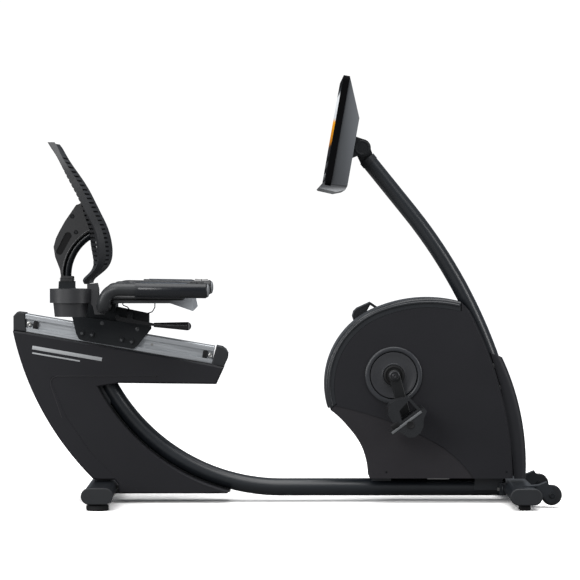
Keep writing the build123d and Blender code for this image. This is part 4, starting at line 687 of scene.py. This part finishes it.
leather_cells = vinyl_tree.nodes.new("ShaderNodeTexVoronoi")
leather_cells.inputs["Scale"].default_value = 620
leather_cells.feature = "SMOOTH_F1"
vinyl_tree.links.new(vinyl_place, leather_cells.inputs["Vector"])
vinyl_tree.links.new(remap(vinyl_tree, leather_cells.outputs["Distance"], 0.40, 0.52, 0, 0.8),
                     vinyl_shader.inputs["Roughness"])
vinyl_shader.inputs["Sheen Weight"].default_value = 0.08
relief(vinyl_tree, leather_cells.outputs["Distance"], vinyl_shader, 0.35, 0.0005)

PANEL_SEAM_Y, CROSS_SEAM_X, SEAM_REACH, SEAM_DEPTH = 0.112, -0.432, 0.0055, 0.0042
SWELL_CAP = 0.009
cushion = bpy.data.objects.new("seat_pad", CAD["seat_cushion"].data.copy())
scene.collection.objects.link(cushion)
choose(cushion)
bpy.ops.object.mode_set(mode="EDIT")
bpy.ops.mesh.select_all(action="SELECT")
bpy.ops.mesh.remove_doubles(threshold=0.00005)
bpy.ops.object.mode_set(mode="OBJECT")
remesh = cushion.modifiers.new("voxels", "REMESH")
remesh.mode = "VOXEL"
remesh.voxel_size = 0.005
bpy.ops.object.modifier_apply(modifier="voxels")
inset_mid = Vector([(low + high) / 2 for low, high in zip(pan_low, pan_high)])
for point in cushion.data.vertices:
    point.co.x = inset_mid.x + (point.co.x - inset_mid.x) * 0.975
    point.co.y = inset_mid.y + (point.co.y - inset_mid.y) * 0.985
    if point.co.z > inset_mid.z:
        point.co.z -= 0.003
flat = [point.co.copy() for point in cushion.data.vertices]
cloth = cushion.modifiers.new("stuffing", "CLOTH")
cloth.settings.use_pressure = True
cloth.settings.uniform_pressure_force = 4
cloth.settings.effector_weights.gravity = 0
cloth.settings.quality = 5
for tick in range(1, 21):
    scene.frame_set(tick)
choose(cushion)
bpy.ops.object.modifier_apply(modifier="stuffing")
scene.frame_set(1)
for point, start in zip(cushion.data.vertices, flat):
    move = point.co - start
    if move.length > SWELL_CAP:
        point.co = start + move.normalized() * SWELL_CAP
    if start.z < pan_low[2] + 0.012:
        point.co.z = max(point.co.z, start.z)
        point.co.x, point.co.y = start.x, start.y
smoothing = cushion.modifiers.new("rounding", "SMOOTH")
smoothing.factor = 0.5
smoothing.iterations = 6
bpy.ops.object.modifier_apply(modifier="rounding")
finer = cushion.modifiers.new("finer", "SUBSURF")
finer.levels = finer.render_levels = 1
bpy.ops.object.modifier_apply(modifier="finer")


def seam_pull(gap):
    """How far a stitched seam pulls the cover down at a distance from it."""
    return SEAM_DEPTH * math.exp(-((gap / SEAM_REACH) ** 2))


for point in cushion.data.vertices:
    if point.co.z > inset_mid.z:
        nearest = min(abs(abs(point.co.y) - PANEL_SEAM_Y), abs(point.co.x - CROSS_SEAM_X))
        point.co.z -= seam_pull(nearest)
settle(cushion, "seat_pad", vinyl, "seat")
bpy.ops.object.shade_smooth()
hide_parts("seat_cushion")

# ---- Backrest: a slotted black shell with a smooth rim on a grey bracket, clamped to the swept back post
# with screws in round pockets and a ribbed boot at the bottom.
shell_black = moulded("shell_black", (0.016, 0.0168, 0.019), 0.42, 1300, 0.2)
bracket_grey = moulded("bracket_grey", (0.025, 0.025, 0.0265), 0.45, 1300, 0.2)
holder_grey = moulded("holder_grey", (0.030, 0.0305, 0.033), 0.45, 1300, 0.2)
dress(shell_black, "backrest")
dress(bracket_grey, "back_bracket")
dress(holder_grey, "bottle_holder")
bracket_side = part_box("back_bracket")[1][1]
back_screws = []
POCKET_SPOTS = ((-0.582, 0.784), (-0.572, 0.7406))
for screw_x, screw_z in POCKET_SPOTS:
    for hand in (RIGHT, LEFT):
        back_screws.append(hex_bolt((screw_x, hand * (bracket_side - 0.0024), screw_z), hand, 0.0072, 0.0018))
settle(joined(back_screws), "back_screws", plate_coat, "seat")
# Near-black sheets laid in the floor of the bracket's slot and screw pockets: painted shade in the recesses.
recess_shade_sheets = []
RECESS_DEPTH, SHADE_SHEET_THICK, POCKET_RADIUS = 0.0025, 0.0006, 0.0055
high_end, low_end = Vector((-0.594, 0, 0.731)), Vector((-0.617, 0, 0.688))
run = high_end - low_end
for hand in (RIGHT, LEFT):
    sunk = bracket_side - RECESS_DEPTH + SHADE_SHEET_THICK * 0.2
    shade_sheet_spots = [(high_end.x, high_end.z, 0.0094), (low_end.x, low_end.z, 0.0084)]
    shade_sheet_spots += [(x, z, POCKET_RADIUS) for x, z in POCKET_SPOTS]
    for x, z, radius in shade_sheet_spots:
        recess_shade_sheets.append(round_of((x, hand * sunk, z), hand, radius, SHADE_SHEET_THICK, (), 40))
    alone()
    middle = (high_end + low_end) / 2
    bpy.ops.mesh.primitive_cube_add(size=1, location=(middle.x, hand * (sunk + SHADE_SHEET_THICK / 2), middle.z),
                                    rotation=(0, math.atan2(run.x, run.z), 0))
    bpy.context.object.scale = (0.0176, SHADE_SHEET_THICK * 0.96, run.length)
    recess_shade_sheets.append(bpy.context.object)
# The near-black for these sheets is painted shade, not a colour of the bracket.
recess_painted_shade = moulded("recess_painted_shade", (0.007, 0.007, 0.0075), 0.6, 900, 0.1, 0.08, 0.2)
settle(joined(recess_shade_sheets), "bracket_recess_painted_shade", recess_painted_shade, "seat")
lips = []
for hand in (RIGHT, LEFT):
    lip_y = hand * (bracket_side - 0.0006)
    lip_line = arc_through((-0.6093, 0.6265), (-0.5905, 0.6925), (-0.5345, 0.7475), lip_y)
    lips.append(bead("lip", lip_line, 0.0022))
lip_grey = moulded("lip_grey", (0.045, 0.045, 0.047), 0.36, 1100, 0.1)
settle(joined(lips), "bracket_arch_lips", lip_grey, "seat")
boot_ribs = []
for rib_z in (0.6105, 0.6150):
    alone()
    bpy.ops.mesh.primitive_cube_add(size=1, location=(-0.599, 0, rib_z))
    boot_rib = bpy.context.object
    boot_rib.scale = (0.0360, 0.0680, 0.0022)
    boot_ribs.append(soften(boot_rib, 0.0007))
settle(joined(boot_ribs), "post_boot_ribs", cap_nylon, "seat")

# ---- Side handles: a bent tube in satin grey-black, thick moulded grips with a gloss outer shell, a
# steel pulse plate on top, a rocker key near the front and a pale end plug.
handle_coat = powder_coat("handle_coat", (0.020, 0.0215, 0.0235), 0.44, 0.1)
grip_rubber = moulded("grip_rubber", (0.013, 0.0145, 0.017), 0.36, 1500, 0.2)
shell_gloss = moulded("grip_shell_gloss", (0.010, 0.0115, 0.0145), 0.24, 900, 0.05)
plug_grey = moulded("plug_grey", (0.24, 0.25, 0.26), 0.38, 1200, 0.1)
key_black = moulded("key_black", (0.008, 0.008, 0.009), 0.3, 900, 0.1)
pulse_steel = drawn_metal("pulse_steel", (0.12, 0.13, 0.145), 0.3)
dress(handle_coat, "handlebar")
dress(grip_rubber, "grips")
dress(key_black, "grip_button_right", "grip_button_left")
grip_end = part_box("grips")[1][0]
GRIP_Y, GRIP_RADIUS, GRIP_FALL = 0.250, 0.0205, 0.9


def grip_height(x):
    """Height of a grip's middle above x."""
    return 0.5879 - (x + 0.400) * math.tan(math.radians(GRIP_FALL))


def grip_shell(hand, start_x, end_x, middle_angle, half_angle, proud, thick):
    """A curved shell on a grip, centred at an angle from straight up towards its own side."""
    alone()
    middle_x = (start_x + end_x) / 2
    bpy.ops.mesh.primitive_cylinder_add(vertices=120, radius=GRIP_RADIUS + proud, depth=end_x - start_x,
                                        end_fill_type="NOTHING", location=(0, 0, 0),
                                        rotation=(0, math.radians(90), 0))
    shell = bpy.context.object
    bpy.ops.object.transform_apply(location=True, rotation=True, scale=True)
    bpy.ops.object.mode_set(mode="EDIT")

    def outside(face):
        """Whether a face lies outside the shell's arc."""
        middle = face.calc_center_median()
        angle = math.degrees(math.atan2(hand * middle.y, middle.z))
        return abs(angle - middle_angle) > half_angle

    pick_faces(shell, outside)
    bpy.ops.mesh.delete(type="FACE")
    bpy.ops.object.mode_set(mode="OBJECT")
    wall = shell.modifiers.new("wall", "SOLIDIFY")
    wall.thickness = thick
    wall.offset = 1
    bpy.ops.object.modifier_apply(modifier="wall")
    shell.location = (middle_x, hand * GRIP_Y, grip_height(middle_x))
    shell.rotation_euler = (0, math.radians(GRIP_FALL), 0)
    return soften(shell, thick * 0.3)


plates, outer_shells, plugs = [], [], []
for hand in (RIGHT, LEFT):
    plates.append(grip_shell(hand, -0.385, -0.262, 0, 33, 0.0000, 0.0012))
    outer_shells.append(grip_shell(hand, -0.392, -0.2125, 90, 42, -0.0002, 0.0011))
    plug_at = (grip_end - 0.0002, hand * GRIP_Y, grip_height(grip_end))
    alone()
    bpy.ops.mesh.primitive_uv_sphere_add(segments=64, ring_count=32, radius=0.0178, location=plug_at)
    plug = bpy.context.object
    plug.scale = (0.32, 1, 1)
    plugs.append(plug)
settle(joined(plates), "pulse_plates", pulse_steel, "seat")
settle(joined(outer_shells), "grip_outer_shells", shell_gloss, "seat")
settle(joined(plugs), "grip_end_plugs", plug_grey, "seat")

# ---- Mast and its knuckle: a swept oval tube in black coat, with the moulded tilt clamp at its top and a
# stepped cap over each end of the clamp's bolt.
dress(black_coat, "mast")
dress(cap_nylon, "mast_knuckle")
tilt_at = joint_at["console_tilt"]
tilt_caps = []
for hand in (RIGHT, LEFT):
    tilt_caps.append(round_of((tilt_at.x, hand * 0.0284, tilt_at.z), hand, 0.0205, 0.0016,
                              ((0.001, 0.0008), (0.0035, 0), (0.0008, -0.0008), (0.010, 0.0002)), 72))
settle(joined(tilt_caps), "tilt_joint_caps", cap_nylon, "console")

# ---- Console: a grey housing with painted shading that pales it towards its top rear edge, behind a black face with a
# lit picture, a satin chin with a painted highlight along its bottom edge, and three keys.
# The housing's colour pales along the bike towards its rear edge: painted shading standing in for its curved
# side turning to the light.
housing_painted_shading = graded(moulded("housing_painted_shading", (0.06, 0.063, 0.068), 0.40, 1300, 0.15), 0, 0.130, 0.225,
                      ((0.0, (0.045, 0.048, 0.053)), (0.30, (0.075, 0.080, 0.087)),
                       (1.0, (0.20, 0.21, 0.225))))
face_black = moulded("face_black", (0.004, 0.004, 0.0045), 0.6, 400, 0.02, 0.05, 0.02)
# The chin's colour turns pale at its bottom edge: a painted highlight over a satin grey body.
chin_painted_highlight = graded(moulded("chin_painted_highlight", (0.08, 0.08, 0.085), 0.42, 1300, 0.08, 0.05, 0.15), 2, 0.850, 0.880,
                    ((0.0, (0.42, 0.43, 0.44)), (0.4, (0.10, 0.102, 0.108)), (1.0, (0.06, 0.062, 0.066))))
key_grey = moulded("key_grey", (0.16, 0.165, 0.17), 0.5, 1200, 0.1, 0.05, 0.2)
dress(housing_painted_shading, "console_housing")
dress(face_black, "console_face")
dress(chin_painted_highlight, "console_chin")
dress(cap_nylon, "console_knuckle")
dress(key_grey, "button_start", "button_stop", "button_menu")

FACE_LEAN = 10.0
face_foot = Vector((0.104, 0, 0.867))
face_up = Vector((math.sin(math.radians(FACE_LEAN)), 0, math.cos(math.radians(FACE_LEAN))))
face_out = Vector((-math.cos(math.radians(FACE_LEAN)), 0, math.sin(math.radians(FACE_LEAN))))


def on_face(up, across, out):
    """A point up the console's face, across it to the rider's left, and out from it."""
    return face_foot + face_up * up + Vector((0, across, 0)) + face_out * out


def face_plate(low, high, half, thick, out, corner):
    """A thin rounded plate on the console's face, between two heights up it."""
    alone()
    bpy.ops.mesh.primitive_cube_add(size=1, location=on_face((low + high) / 2, 0, out - thick / 2),
                                    rotation=(0, math.radians(FACE_LEAN), 0))
    plate = bpy.context.object
    plate.scale = (thick, 2 * half, high - low)
    bpy.ops.object.transform_apply(location=True, rotation=True, scale=True)
    bpy.ops.object.mode_set(mode="EDIT")
    bpy.ops.mesh.select_mode(type="EDGE")
    mesh = bmesh.from_edit_mesh(plate.data)
    for edge in mesh.edges:
        line = (edge.verts[1].co - edge.verts[0].co).normalized()
        edge.select_set(abs(line.dot(face_out)) > 0.99)
    bmesh.update_edit_mesh(plate.data)
    bpy.ops.mesh.bevel(offset=corner, segments=6, affect="EDGES")
    bpy.ops.object.mode_set(mode="OBJECT")
    return soften(plate, thick * 0.3)


picture, picture_tree, picture_shader, picture_place = new_finish("ride_picture")
picture_axes = picture_tree.nodes.new("ShaderNodeSeparateXYZ")
picture_tree.links.new(picture_place, picture_axes.inputs[0])
height_share = remap(picture_tree, picture_axes.outputs[2], 0, 1, 0.955, 1.150)
hills = noise_of(picture_tree, picture_place, 9, 2)
lifted = picture_tree.nodes.new("ShaderNodeMath")
lifted.operation = "ADD"
picture_tree.links.new(height_share, lifted.inputs[0])
picture_tree.links.new(remap(picture_tree, hills, -0.05, 0.05), lifted.inputs[1])
bands = ramp(picture_tree, lifted.outputs[0],
             ((0.0, (0.02, 0.02, 0.025)), (0.10, (0.03, 0.02, 0.015)), (0.16, (0.45, 0.16, 0.006)),
              (0.44, (0.80, 0.34, 0.012)), (0.48, (0.62, 0.64, 0.66)), (0.80, (0.72, 0.74, 0.76)),
              (0.86, (0.03, 0.035, 0.04)), (1.0, (0.012, 0.012, 0.015))))
picture_tree.links.new(bands, picture_shader.inputs["Base Color"])
picture_tree.links.new(bands, picture_shader.inputs["Emission Color"])
picture_shader.inputs["Emission Strength"].default_value = 0.24
picture_shader.inputs["Specular IOR Level"].default_value = 0.02
picture_shader.inputs["Roughness"].default_value = 0.5
picture_plate = face_plate(0.080, 0.268, 0.160, 0.0012, 0.0010, 0.003)
settle(picture_plate, "console_picture", picture, "console")
keypad_grey = moulded("keypad_grey", (0.05, 0.052, 0.056), 0.5, 900, 0.1, 0.05, 0.1)
key_strip = face_plate(0.050, 0.066, 0.120, 0.0010, 0.0008, 0.003)
settle(key_strip, "console_key_strip", keypad_grey, "console")
